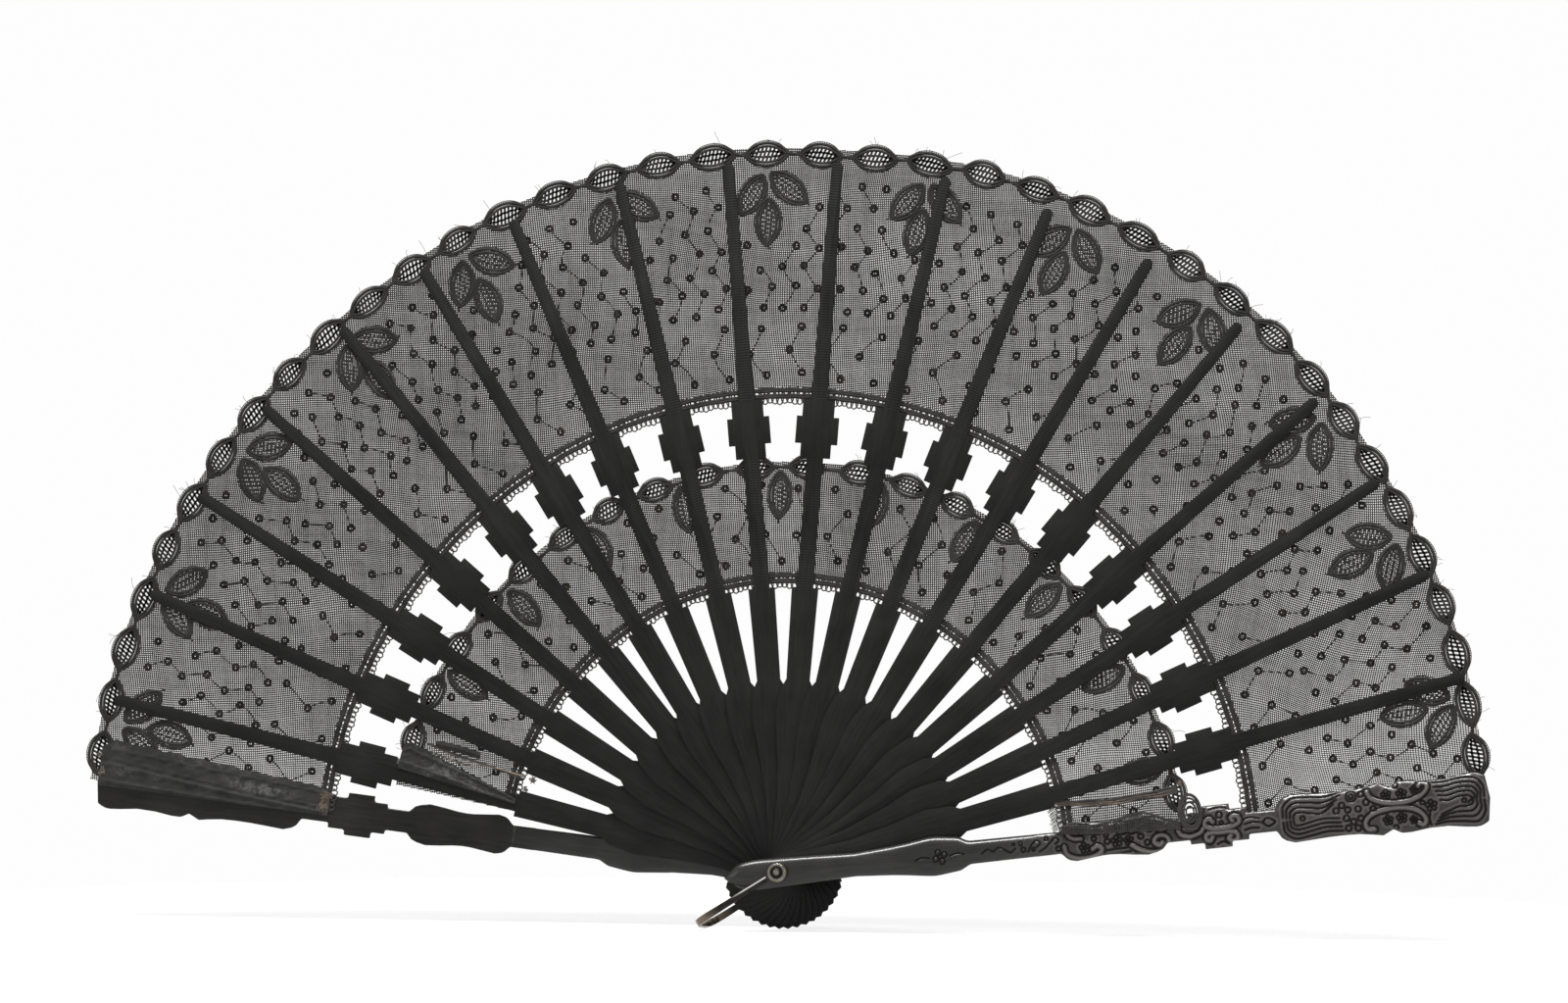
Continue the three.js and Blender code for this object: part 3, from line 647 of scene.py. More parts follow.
def smooth_chosen(piece, chosen, repeat):
    """Evens out the chosen vertices against their neighbours."""
    for vertex, is_chosen in zip(piece.data.vertices, chosen):
        vertex.select = bool(is_chosen)
    only(piece)
    bpy.ops.object.mode_set(mode="EDIT")
    bpy.ops.mesh.vertices_smooth(factor=0.5, repeat=repeat)
    bpy.ops.object.mode_set(mode="OBJECT")


def carve(piece, angle, outer_level, inward, outline):
    """Rounds the outer face over, carves it, and marks the cuts for grime and painted shade, and the ridges
    for wear, gloss and a painted highlight.
    """
    points = vertex_places(piece.data)
    places = in_blade(points, angle)
    depth = (places[:, 2] - outer_level) * inward
    plane = places[:, :2]
    from_edge = nearest(outline, plane)
    in_grip = 1 / (1 + np.exp((plane[:, 0] - GRIP_FADE[0]) / GRIP_FADE[1]))
    share = np.clip(from_edge / (ROUND_OVER_WIDTH * (1 + 0.5 * in_grip)), 0, 1)
    surface = ROUND_OVER_DEPTH * (1 + 0.3 * in_grip) * (1 - np.sqrt(1 - (1 - share) ** 2)) * (share < 1)
    surface += CROWN_HEIGHT * np.clip(np.abs(plane[:, 1]) / CROWN_HALF_WIDTH, 0, 1.2) ** 2
    on_face = depth < surface + FACE_MARGIN
    to_cord = nearest(cord_tree, plane)
    to_cut = nearest(cut_tree, plane)
    cord = bell(to_cord, CORD_HALF_WIDTH)
    beside_cord = bell(to_cord - 2.1 * CORD_HALF_WIDTH, CUT_HALF_WIDTH)
    cut = np.maximum(bell(to_cut, CUT_HALF_WIDTH) * (1 - cord), beside_cord)
    cut = cut * np.clip((from_edge - 0.3 * MM) / (0.7 * MM), 0, 1)
    carved = surface + CUT_DEPTH * cut - CORD_HEIGHT * cord
    depth = np.where(on_face, np.maximum(carved, 0), depth)
    points[:, 1] = outer_level + inward * depth
    piece.data.vertices.foreach_set("co", points.astype(np.float32).ravel())
    mark(piece, "groove", np.where(on_face, cut, 0))
    near_line = bell(to_cut - 2.2 * CUT_HALF_WIDTH, 1.2 * CUT_HALF_WIDTH) * (1 - cut)
    # The ridges and the plain carved face get a lighter colour and more gloss: wear together with a painted
    # highlight.
    ridges = np.maximum(np.maximum(cord, 0.65 * near_line), PLAIN_POLISH_AND_HIGHLIGHT) * (1 - in_grip)
    mark(piece, "polish", np.where(on_face, ridges * (1 - cut), 0))
    uncut = (cut < PLAIN_BELOW) & (cord < PLAIN_BELOW)
    past_eye = np.hypot(plane[:, 0], plane[:, 1]) > EYE_RADIUS
    in_hand = uncut & (plane[:, 0] < GRIP_END) & past_eye
    smooth_chosen(piece, in_hand | (uncut & on_face & (from_edge > EDGE_MARGIN)), repeat=5)
    smooth_chosen(piece, in_hand, repeat=20)
    turn_outward(piece, merge_distance=0.05 * MM)


def carved_wood_material():
    """The guards' wood: painted darker in the cuts, grime with painted shade; painted lighter on the ridges,
    wear with a painted highlight; a little glossy on the grip.
    """
    material = wood_material("carved_guard_wood", (0.004, 0.0038, 0.0036), (0.0128, 0.0121, 0.0115),
                             rough=0.2, gloss_change=0.04, specular=0.3, rib_height=0.0, bump_strength=0.2)
    tree = material.node_tree
    shader = tree.nodes["Principled BSDF"]
    colour = shader.inputs["Base Color"].links[0].from_socket
    in_groove = marked(tree, "groove")
    on_ridge = marked(tree, "polish")
    # The cuts are painted dark: grime together with painted shade.
    grooves_grimed_and_shaded = mixed(tree, in_groove, colour, GROOVE_GRIME_AND_SHADE)
    along = node(tree, "SeparateXYZ", Vector=blade_place(tree)).outputs[0]
    handled = ranged(tree, along, 84 * MM, 100 * MM, 0.15, 0.0)
    shine = maths(tree, "ADD", ranged(tree, on_ridge, 0.0, 1.0, 0.13, 0.7), handled)
    dulled = node(tree, "Mix", {"data_type": "FLOAT"}, _0=in_groove, _2=shine, _3=0.03).outputs[0]
    # The ridges are painted lighter: wear together with a painted highlight.
    set_inputs(tree, shader, {
        "Base Color": mixed(tree, on_ridge, grooves_grimed_and_shaded, RUBBED_WOOD_AND_HIGHLIGHT),
        "Specular IOR Level": dulled,
    })
    return material


guard_wood = carved_wood_material()

for guard_name, blade, voxel in (("front_guard", 0, 0.31 * MM), ("rear_guard", LAST_BLADE, 0.36 * MM)):
    guard = merged_copy(guard_name, f"dressed_{guard_name}")
    low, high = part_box(guard_name)
    outer_level, inward = (low.y, 1) if blade == 0 else (high.y, -1)
    outline = edge_tree(guard, blade_angles[blade], outer_level)
    remesh = guard.modifiers.new("even_faces", "REMESH")
    remesh.mode = "VOXEL"
    remesh.voxel_size = voxel
    bpy.ops.object.modifier_apply(modifier=remesh.name)
    carve(guard, blade_angles[blade], outer_level, inward, outline)
    bpy.ops.object.shade_smooth()
    mark_blade_place(guard, blade_angles[blade])
    guard.data.materials.append(guard_wood)
    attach(guard, body_names[blade])
    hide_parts(guard_name)
    print(guard_name, "faces", len(guard.data.polygons))

# %% [markdown]
# The rivet, its washers and the carrying loop are dark nickel, brassy towards the loop's far end. Round the
# rivet the colour is painted in rings: a painted highlight on the pin head and on the washer's rim, with
# darker patina between them. The upper edge of the loop's front arm is painted bright, a painted highlight.

# %% Dark nickel
NICKEL_LIGHT = (0.2, 0.188, 0.165)
NICKEL_DARK = (0.12, 0.106, 0.086)
BRASSY = (0.13, 0.104, 0.08)
# Colour painted along the loop's upper edge: a painted highlight.
EDGE_HIGHLIGHT_NICKEL = (0.75, 0.73, 0.7)
RING_REACH = 5 * MM

# Brightness round the rivet, as (share of the reach, level): a painted highlight on the pin head and on the
# washer's rim, darker patina between them, and the darker loop beyond.
RIVET_PATINA_AND_HIGHLIGHTS = ((0.10, 1.0), (0.24, 0.1), (0.42, 0.1), (0.47, 1.0), (0.61, 1.0), (0.67, 0.2), (0.95, 0.13))


def metal_material(name):
    material, tree, shader = new_material(name)
    place = object_place(tree)
    stains = noise(tree, place, 420.0, 5.0, 0.65)
    scratches = noise(tree, stretched(tree, place, (900, 6000, 900)), 1.0)
    colour = mixed(tree, ranged(tree, stains, 0.38, 0.66), NICKEL_LIGHT, NICKEL_DARK)
    from_rivet = distance_from_origin(tree, stretched(tree, place, (1, 0, 1)))
    rings = node(tree, "ValToRGB", Fac=maths(tree, "MULTIPLY", from_rivet, 1 / RING_REACH))
    stops = rings.color_ramp.elements
    for index, (spot, level) in enumerate(RIVET_PATINA_AND_HIGHLIGHTS):
        stop = stops[index] if index < 2 else stops.new(spot)
        stop.position = spot
        stop.color = (level, level, level, 1)
    # Rings round the rivet: patina, with painted highlights on the pin head and the washer's rim.
    patina_and_highlights = mixed(tree, 1.0, colour, rings.outputs["Color"], "MULTIPLY")
    warm = mixed(tree, ranged(tree, from_rivet, 23 * MM, 30 * MM), patina_and_highlights, BRASSY)
    # A painted highlight along the upward-facing edge of the loop's front arm, away from the rivet's eye.
    upper_edge = ranged(tree, marked(tree, "edge_wear"), 0.65, 0.85)
    past_eye = ranged(tree, from_rivet, 3.8 * MM, 4.4 * MM)
    near_eye = ranged(tree, from_rivet, 13 * MM, 18 * MM, 0.9, 0.0)
    edge_highlight_share = maths(tree, "MULTIPLY", upper_edge, maths(tree, "MULTIPLY", past_eye, near_eye))
    set_inputs(tree, shader, {
        "Base Color": mixed(tree, edge_highlight_share, warm, EDGE_HIGHLIGHT_NICKEL),
        "Metallic": 1.0,
        "Roughness": ranged(tree, stains, 0.3, 0.7, 0.16, 0.34),
        "Normal": bump(tree, scratches, 0.02 * MM, 0.5),
    })
    return material


dark_nickel = metal_material("dark_nickel")

# %% [markdown]
# Each metal piece is a copy of its solid with rounded edges; the loop's wire is rounded most.

# %% Rivet, washers and loop
UPWARD_LEAN = 0.08
METAL_ARRIS = {
    "rivet_pin": 0.15 * MM,
    "front_washer": 0.1 * MM,
    "rear_washer": 0.1 * MM,
    "carrying_loop": 0.38 * MM,
}


def mark_upper_edge_highlight(piece):
    """Marks the upward-facing edge of the loop's front arm, where a highlight is painted."""
    places = vertex_places(piece.data)
    tip = places[np.argmax(np.hypot(places[:, 0], places[:, 2]))]
    side = np.array([tip[2], -tip[0]]) / math.hypot(tip[0], tip[2])
    upward = np.array([(vertex.normal.x, vertex.normal.z) for vertex in piece.data.vertices]) @ side
    mark(piece, "edge_wear", np.clip(upward / UPWARD_LEAN, 0, 1) * (places[:, 1] < 0))


for metal_name, arris in METAL_ARRIS.items():
    metal_piece = merged_copy(metal_name, f"dressed_{metal_name}")
    round_arris(metal_piece, arris, 3)
    if metal_name == "carrying_loop":
        mark_upper_edge_highlight(metal_piece)
    metal_piece.data.materials.append(dark_nickel)
    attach(metal_piece, "loop" if metal_name == "carrying_loop" else "rear_side")
    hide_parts(metal_name)
print("metal pieces", len(METAL_ARRIS))

# %% [markdown]
# The lace is a fine square net with corded beads along its edge, corded leaves, and small sequins that
# are joined by straggling threads. A picture of a net would not do, since light passes between the threads,
# so every thread is a thin closed tube. The lace folds between two blades, so it is made gap by gap:
# each thread is cut exactly at the centre line of a blade, and each part lies at the levels of the two
# blades beside it.

# %% Black lace thread and sequins
SEQUIN_BLACK = (0.002, 0.002, 0.002)
SEQUIN_BROWN = (0.011, 0.008, 0.006)


def thread_material(name, dark, light, rough):
    material, tree, shader = new_material(name)
    place = object_place(tree)
    tone = noise(tree, place, 160.0, 4.0, 0.7)
    fibres = noise(tree, place, 9000.0)
    set_inputs(tree, shader, {
        "Base Color": mixed(tree, ranged(tree, tone, 0.35, 0.7), dark, light),
        "Roughness": rough,
        "Specular IOR Level": 0.2,
        "Sheen Weight": 0.1,
        "Normal": bump(tree, fibres, 0.03 * MM, 0.6),
    })
    return material


def sequin_material(name):
    material, tree, shader = new_material(name)
    tone = noise(tree, object_place(tree), 260.0)
    set_inputs(tree, shader, {
        "Base Color": mixed(tree, ranged(tree, tone, 0.4, 0.65), SEQUIN_BLACK, SEQUIN_BROWN),
        "Roughness": ranged(tree, tone, 0.0, 1.0, 0.12, 0.45),
        "Specular IOR Level": 0.1,
    })
    return material


black_thread = thread_material("black_lace_thread", (0.0105, 0.0098, 0.0093), (0.026, 0.0225, 0.0195), 0.85)
# The cords' darker thread; the same material colours the dark band of painted shade in the rolled lace.
black_cord = thread_material("black_cord", (0.0042, 0.0039, 0.0037), (0.0135, 0.0118, 0.0104), 0.85)
glued_thread = thread_material("glued_thread", (0.03, 0.022, 0.016), (0.115, 0.086, 0.063), 0.8)
black_sequin = sequin_material("black_sequin")
print("materials so far", len(bpy.data.materials))

# %% [markdown]
# Both bands start at the front guard. The outer one ends on the rear guard, the inner one on the last stick.
# Between two blades the lace steps back from one layer to the next.

# %% Bands of the lace
OUTER_NET_START = 163.2 * MM
OUTER_NET_END = 243.1 * MM
INNER_NET_START = 100.9 * MM
INNER_NET_END = 138.2 * MM
OUTER_FOLD_RADIUS = 158 * MM
INNER_FOLD_RADIUS = 96.5 * MM

outer_band = {
    "name": "outer",
    "fold_radius": OUTER_FOLD_RADIUS,
    "net": (OUTER_NET_START, OUTER_NET_END),
    "start": blade_angles[0],
    "end": REAR_GUARD_ANGLE,
    "steps": lace_steps(OUTER_FOLD_RADIUS, BLOCK_TOP_HALF),
    "last_gap": LAST_BLADE - 1,
}
inner_band = {
    "name": "inner",
    "fold_radius": INNER_FOLD_RADIUS,
    "net": (INNER_NET_START, INNER_NET_END),
    "start": blade_angles[0],
    "end": blade_angles[STICK_COUNT] + sweep(SLIP_HALF, INNER_FOLD_RADIUS),
    "steps": lace_steps(INNER_FOLD_RADIUS, BLOCK_FOOT_HALF),
    "last_gap": STICK_COUNT - 1,
}


def level_knots(band):
    angles, levels = [band["start"] - 1], [lace_levels[0]]
    for gap in range(band["last_gap"] + 1):
        step_start, step_end = band["steps"][gap]
        angles += [step_start, step_end]
        levels += [lace_levels[gap], lace_levels[gap + 1]]
    return np.array(angles), np.array(levels)


for band in (outer_band, inner_band):
    band["knot_angles"], band["knot_levels"] = level_knots(band)
    band["cuts"] = np.array(blade_angles[1:band["last_gap"] + 1])
    print(band["name"], "band from", round(band["start"], 2), "to", round(band["end"], 2))

# %% [markdown]
# A thread is a line in the fan's plane. It is cut where it crosses a blade or leaves its region, takes the
# level of the lace there, and becomes a closed flat tube in the store of its gap.

# %% Threads laid in a band
THREE_SIDED = (3, 90)
FOUR_SIDED = (4, 0)
SQUARE = (4, 45)
FINE_DEPTH = 0.1 * MM
SHORTEST_THREAD = 0.12 * MM
SHORTEST_STEP = 0.02 * MM

# The kinds of thread, as places in the trim's list of materials
# The cord kind also colours the dark band of painted shade in the rolled lace.
PLAIN, SEQUIN, GLUED, CORDED_AND_SHADE = range(4)


def polar_of(points):
    return np.hypot(points[:, 0], points[:, 1]), np.degrees(np.arctan2(points[:, 1], points[:, 0]))


def crossings(values):
    """Where a row of values changes sign, as positions along the row."""
    before = np.nonzero((values[:-1] < 0) != (values[1:] < 0))[0]
    return before + values[before] / (values[before] - values[before + 1])


def gap_of(angles, band):
    return np.searchsorted(band["cuts"], angles)


def cut_up(points, band, fields=()):
    """Cuts a line of (x, z) points at the blades and where a field changes sign.
    Gives (gap, points) for each part whose fields are all positive. Adds points where the lace steps."""
    radii, angles = polar_of(points)
    low, high = angles.min() - 0.01, angles.max() + 0.01
    at = [np.arange(len(points), dtype=float)]
    lines = [cut for cut in band["cuts"] if low < cut < high]
    lines += [knot for knot in band["knot_angles"] if low < knot < high]
    lines += [edge for edge in (band["start"], band["end"]) if low < edge < high]
    for line in lines:
        at.append(crossings(angles - line))
    fields = [*fields, angles - band["start"], band["end"] - angles]
    for field in fields:
        at.append(crossings(field))
    at = np.unique(np.round(np.concatenate(at), 4))
    index = np.arange(len(points))
    line_points = np.stack([np.interp(at, index, points[:, 0]), np.interp(at, index, points[:, 1])], axis=1)
    middle = (at[:-1] + at[1:]) / 2
    inside = np.ones(len(middle), bool)
    for field in fields:
        inside &= np.interp(middle, index, field) > 0
    middle_points = (line_points[:-1] + line_points[1:]) / 2
    gaps = gap_of(polar_of(middle_points)[1], band)
    parts = []
    start = 0
    for stop in range(1, len(middle) + 1):
        if stop == len(middle) or inside[stop] != inside[start] or gaps[stop] != gaps[start]:
            if inside[start]:
                parts.append((int(gaps[start]), line_points[start:stop + 1]))
            start = stop
    return parts


def new_store(band):
    return [{"points": [], "faces": [], "kinds": [], "count": 0} for _ in range(band["last_gap"] + 1)]


def add_mesh(bin_of_gap, points, faces, kind):
    bin_of_gap["faces"] += [tuple(corner + bin_of_gap["count"] for corner in face) for face in faces]
    bin_of_gap["kinds"] += [kind] * len(faces)
    bin_of_gap["points"].append(points)
    bin_of_gap["count"] += len(points)


def tube(points, levels, half_width, half_depth, form):
    """A closed flat tube along points of the fan's plane, and its faces. A form is (sides, first corner)."""
    sides, first_corner = form
    ahead_of = np.empty_like(points)
    ahead_of[1:-1] = points[2:] - points[:-2]
    ahead_of[0] = points[1] - points[0]
    ahead_of[-1] = points[-1] - points[-2]
    lengths = np.hypot(ahead_of[:, 0], ahead_of[:, 1])
    lengths[lengths < 1e-9] = 1
    ahead_of = ahead_of / lengths[:, None]
    corner_angles = math.radians(first_corner) + 2 * math.pi * np.arange(sides) / sides
    wide = np.cos(corner_angles)[None, :] * np.broadcast_to(half_width, len(points))[:, None]
    deep = np.sin(corner_angles)[None, :] * half_depth
    x = points[:, 0:1] - ahead_of[:, 1:2] * wide
    z = points[:, 1:2] + ahead_of[:, 0:1] * wide
    y = levels[:, None] + deep
    corners = np.stack([x, y, z], axis=2).reshape(-1, 3)
    faces = []
    for ring in range(len(points) - 1):
        here = ring * sides
        for side in range(sides):
            after = (side + 1) % sides
            faces.append((here + side, here + sides + side, here + sides + after, here + after))
    last = (len(points) - 1) * sides
    faces.append(tuple(range(sides)))
    faces.append(tuple(last + side for side in reversed(range(sides))))
    return corners, faces


def lay(store, band, points, half_width, half_depth, form, lift=0.0, fields=(), kind=PLAIN):
    """Lays one thread or cord along points of the fan's plane, cut at the blades, at the lace's level."""
    for gap, part in cut_up(points, band, fields):
        steps = np.hypot(*np.diff(part, axis=0).T)
        part = part[np.concatenate([[True], steps > SHORTEST_STEP])]
        if steps.sum() < SHORTEST_THREAD or len(part) < 2:
            continue
        levels = np.interp(polar_of(part)[1], band["knot_angles"], band["knot_levels"]) + lift
        wide = half_width(polar_of(part)[1]) if callable(half_width) else half_width
        corners, faces = tube(part, levels, wide, half_depth, form)
        add_mesh(store[gap], corners, faces, kind)


def on_fan(radii, angles):
    angles = np.radians(angles)
    return np.stack([radii * np.cos(angles), radii * np.sin(angles)], axis=1)


# %% [markdown]
# Beads and leaves have the same pointed oval shape. Beads lie end to end along the edges, leaves hang in
# sprigs below them. Their places were read in the photograph, as angles about the rivet.

# %% Beads and leaves as almond shapes
BEAD_LENGTH = 15.0 * MM
BEAD_WIDTH = 7.6 * MM
INNER_BEAD_LENGTH = 12.6 * MM
INNER_BEAD_WIDTH = 6.8 * MM
LEAF_WIDTH = 8.0 * MM
ALMOND_POWER = 0.72


def seen_angle(angle):
    """The blade angle of a place that the camera sees at an image angle about the rivet."""
    return angle + 0.85 + 1.12 * math.sin(math.radians(angle))


def almond(centre, heading, length, width, bend=0.0):
    """An almond shape: its centre, the heading of its long axis in degrees, and how much it bends."""
    return {"centre": np.array(centre, float), "heading": math.radians(heading), "length": length,
            "width": width, "bend": bend}


def from_almond(shape, along, across):
    """Points of the plane from the almond's own coordinates, along from -1 to 1, across in metres."""
    half = shape["length"] / 2
    c, s = math.cos(shape["heading"]), math.sin(shape["heading"])
    u = along * half
    v = across + shape["bend"] * (1 - along ** 2)
    return shape["centre"] + np.stack([u * c - v * s, u * s + v * c], axis=1)


def almond_half(shape, along):
    return shape["width"] / 2 * np.clip(1 - along ** 2, 0, 1) ** ALMOND_POWER


def half_at(shape, along):
    return float(almond_half(shape, np.array([along]))[0])


def point_at(shape, along, across=0.0):
    return from_almond(shape, np.array([along]), np.array([across]))[0]


def almond_field(shape, points):
    """Positive inside the almond, in metres."""
    c, s = math.cos(shape["heading"]), math.sin(shape["heading"])
    away = points - shape["centre"]
    u = (away[:, 0] * c + away[:, 1] * s) / (shape["length"] / 2)
    v = away[:, 1] * c - away[:, 0] * s - shape["bend"] * (1 - u ** 2)
    inside = almond_half(shape, np.clip(u, -1, 1)) - np.abs(v)
    past_tip = (np.abs(u) - 1) * shape["length"] / 2
    return np.where(np.abs(u) < 1, inside, -np.hypot(past_tip, v) - 1e-5)


# Where the worn lace stands out past the sticks or is drawn in:
# (shift in mm, middle and reach in degrees, steepness)
EDGE_BULGES = ((3.5, 59.8, 21, 4), (1.3, 105.8, 17, 4), (-3.8, 4.9, 15, 2))


def edge_shift(angles):
    shift = np.zeros(np.shape(angles))
    for height, middle, reach, power in EDGE_BULGES:
        shift = shift + height * MM * np.exp(-np.abs((np.asarray(angles) - middle) / reach) ** power)
    return shift


def bead_ring(steps, first, pitch, radius, length, width, bend, squeeze, band):
    """Beads end to end along the edge of a band, closer together towards the front guard."""
    ring_of_beads = []
    for step in steps:
        angle = seen_angle(first + pitch * step + squeeze * max(-11 - step, 0))
        if not blade_angles[0] < angle < band["end"] - 0.5:
            continue
        reach = radius + (edge_shift(angle) if band is outer_band else 0)
        centre = (reach * math.cos(math.radians(angle)), reach * math.sin(math.radians(angle)))
        tilt = 3 * math.sin(step * 2.3)
        long = length * (1 + 0.04 * math.sin(step * 1.7))
        wide = width * (1 + 0.06 * math.sin(step * 2.9))
        ring_of_beads.append(almond(centre, angle - 90 + tilt, long, wide, bend))
    return ring_of_beads


BEAD_RADIUS = 240.9 * MM
beads = bead_ring(range(-19, 19), first=90.4, pitch=4.42, radius=BEAD_RADIUS, length=BEAD_LENGTH,
                  width=BEAD_WIDTH, bend=0.1 * MM, squeeze=0.35, band=outer_band)

EDGE_SPRIGS_FROM = 200
SPRIG_ANGLES = (13.8, 27.5, 39.0, 52.0, 64.4, 77.0, 90.4, 103.5, 116.9, 129.1, 142.1, 155.8, 167.3)


def leaf_between(start, end, width, bend):
    """A leaf from its stem end to its tip, each an (angle, radius in millimetres)."""
    ends = [on_fan(np.array([radius]), np.array([angle]))[0] * MM for angle, radius in (start, end)]
    if start[1] > EDGE_SPRIGS_FROM:
        ends = [point * (1 + float(edge_shift(start[0])) * 0.6 / np.hypot(*point)) for point in ends]
    middle = (ends[0] + ends[1]) / 2
    away = ends[1] - ends[0]
    heading = math.degrees(math.atan2(away[1], away[0]))
    return almond(middle, heading, float(np.hypot(*away)), width, bend * MM)


outer_leaves = []
for sprig in SPRIG_ANGLES:
    angle = seen_angle(sprig)
    outer_leaves.append(leaf_between((angle + 0.35, 234.5), (angle + 2.5, 221.6), LEAF_WIDTH, 0.35))
    outer_leaves.append(leaf_between((angle - 0.35, 235.0), (angle - 3.4, 225.0), LEAF_WIDTH, -0.35))
    outer_leaves.append(leaf_between((angle - 0.1, 226.5), (angle + 0.2, 210.6), LEAF_WIDTH, 0.2))

INNER_BEAD_RADIUS = 136.3 * MM
inner_beads = bead_ring(range(-12, 12), first=93.1, pitch=7.46, radius=INNER_BEAD_RADIUS,
                        length=INNER_BEAD_LENGTH, width=INNER_BEAD_WIDTH, bend=0.15 * MM, squeeze=0,
                        band=inner_band)
inner_leaves = []
for step in range(-6, 6):
    angle = seen_angle(89.5 + 14.9 * step)
    if blade_angles[0] + 1 < angle < inner_band["end"] - 1:
        inner_leaves.append(leaf_between((angle, 135.0), (angle + 0.4, 119.2), 7.4 * MM, 0.2))
print("beads", len(beads), len(inner_beads), "leaves", len(outer_leaves), len(inner_leaves))

# %% [markdown]
# The net has two families of fine threads, stretched unevenly over the sticks. It stays fine enough to look
# grey from afar, and every thread is still a tube of its own.

# %% The net
NET_PITCH = 0.695 * MM
NET_UNEVENNESS = 0.008 * MM
OPENING_REACH = 13 * MM
NET_HALF_WIDTH = 0.232 * MM
NET_HALF_DEPTH = 0.085 * MM
FAMILY_OFFSET = 0.045 * MM
SAMPLE_STEP = 1.4 * MM

# How much fuller or thinner the net's threads look: (angle, reach in degrees, change)
THREAD_CHANGES = {
    "outer": ((4, 17, -0.25), (122, 12, 0.09), (150, 9, 0.07), (171, 4, -0.18)),
    "inner": ((19, 8, -0.2), (76, 9, 0.1), (94, 6, -0.05), (152, 6, -0.1), (164, 3, -0.15)),
}

# Waves of the net: (shift and wave length in mm, direction in degrees, phase, direction of the shift)
WARP_WAVES = (
    (1.7, 118, 24, 0.4, 90), (1.3, 74, 118, 2.2, 10), (0.8, 47, 66, 4.1, 120), (0.45, 29, 160, 1.3, 45),
    (0.06, 9.5, 80, 0.2, 80), (0.05, 7.1, 8, 3.0, 5), (0.02, 3.9, 93, 5.2, 92), (0.02, 3.3, 4, 1.1, 2),
)
SWIRL_CENTRE = (178 * MM, 92 * MM)
SWIRL_ANGLE = math.radians(-20)
SWIRL_REACH = 52 * MM


def warped(points):
    """Where the points of an even net lie once it is stretched over the sticks."""
    moved = points.copy()
    for shift, length, direction, phase, way in WARP_WAVES:
        d = math.radians(direction)
        travel = (points[:, 0] * math.cos(d) + points[:, 1] * math.sin(d)) / (length * MM)
        amount = shift * MM * np.sin(2 * math.pi * travel + phase)
        moved[:, 0] += amount * math.cos(math.radians(way))
        moved[:, 1] += amount * math.sin(math.radians(way))
    away = moved - np.array(SWIRL_CENTRE)
    angle = SWIRL_ANGLE * np.exp(-(away ** 2).sum(axis=1) / SWIRL_REACH ** 2)
    c, s = np.cos(angle), np.sin(angle)
    turned = np.stack([away[:, 0] * c - away[:, 1] * s, away[:, 0] * s + away[:, 1] * c], axis=1)
    return np.array(SWIRL_CENTRE) + turned


def net_fields(points, band, openings):
    radii, angles = polar_of(points)
    start, end = band["net"]
    outside = np.full(len(points), 1.0)
    for shape in openings:
        near = np.abs(points - shape["centre"]).max(axis=1) < OPENING_REACH
        if near.any():
            outside[near] = np.minimum(outside[near], -0.3 * MM - almond_field(shape, points[near]))
    if band is outer_band:
        end = end + edge_shift(angles)
    return radii - start, end - radii, outside


def lay_net(band, openings):
    def thread_width(angles):
        share = np.ones(len(angles))
        for middle, spread, change in THREAD_CHANGES[band["name"]]:
            share += change * bell(angles - middle, spread)
        return NET_HALF_WIDTH * share

    store = new_store(band)
    random = np.random.default_rng(7 if band is outer_band else 11)
    reach = band["net"][1] + 10 * MM
    steps = np.arange(-reach, reach, SAMPLE_STEP)
    for family in (0, 1):
        low = -reach if family else -4 * MM
        for place in np.arange(low, reach, NET_PITCH):
            place = place + random.normal(0, NET_UNEVENNESS)
            if family:
                line = np.stack([np.full_like(steps, place), steps], axis=1)
            else:
                line = np.stack([steps, np.full_like(steps, place)], axis=1)
            line = warped(line)
            radii = np.hypot(line[:, 0], line[:, 1])
            near = (radii > band["net"][0] - 3 * MM) & (radii < band["net"][1] + 7 * MM) & (line[:, 1] > 0)
            edges = np.nonzero(np.diff(np.concatenate([[False], near, [False]]).astype(int)))[0]
            for first, last in zip(edges[::2], edges[1::2]):
                part = line[first:last]
                if len(part) < 3:
                    continue
                lay(store, band, part, thread_width, NET_HALF_DEPTH, THREE_SIDED,
                    FAMILY_OFFSET * (1 if family else -1), net_fields(part, band, openings))
    return store


def build_gap_piece(name, bin_of_gap, materials):
    mesh = bpy.data.meshes.new(name)
    mesh.from_pydata(np.concatenate(bin_of_gap["points"]).tolist(), [], bin_of_gap["faces"])
    for material in materials:
        mesh.materials.append(material)
    if len(materials) > 1:
        mesh.polygons.foreach_set("material_index", bin_of_gap["kinds"])
    mesh.update()
    return put(name, mesh)


def follow_blades(piece):
    """Bakes the piece's transform into its mesh."""
    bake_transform(piece)


def net_area(band, gap):
    """The area, width and length of the flat net of one gap."""
    low = max(blade_angles[gap], band["start"])
    high = min(blade_angles[gap + 1], band["end"])
    start, end = band["net"]
    turn = math.radians(high - low)
    return turn * (end ** 2 - start ** 2) / 2, turn * end, end - start


outer_net = lay_net(outer_band, beads)
inner_net = lay_net(inner_band, inner_beads)
print("net faces", sum(len(gap["faces"]) for gap in outer_net), sum(len(gap["faces"]) for gap in inner_net))

# %% [markdown]
# A thick and a thin cord run round each bead and leaf, with cells of thread inside and a fringe outside.

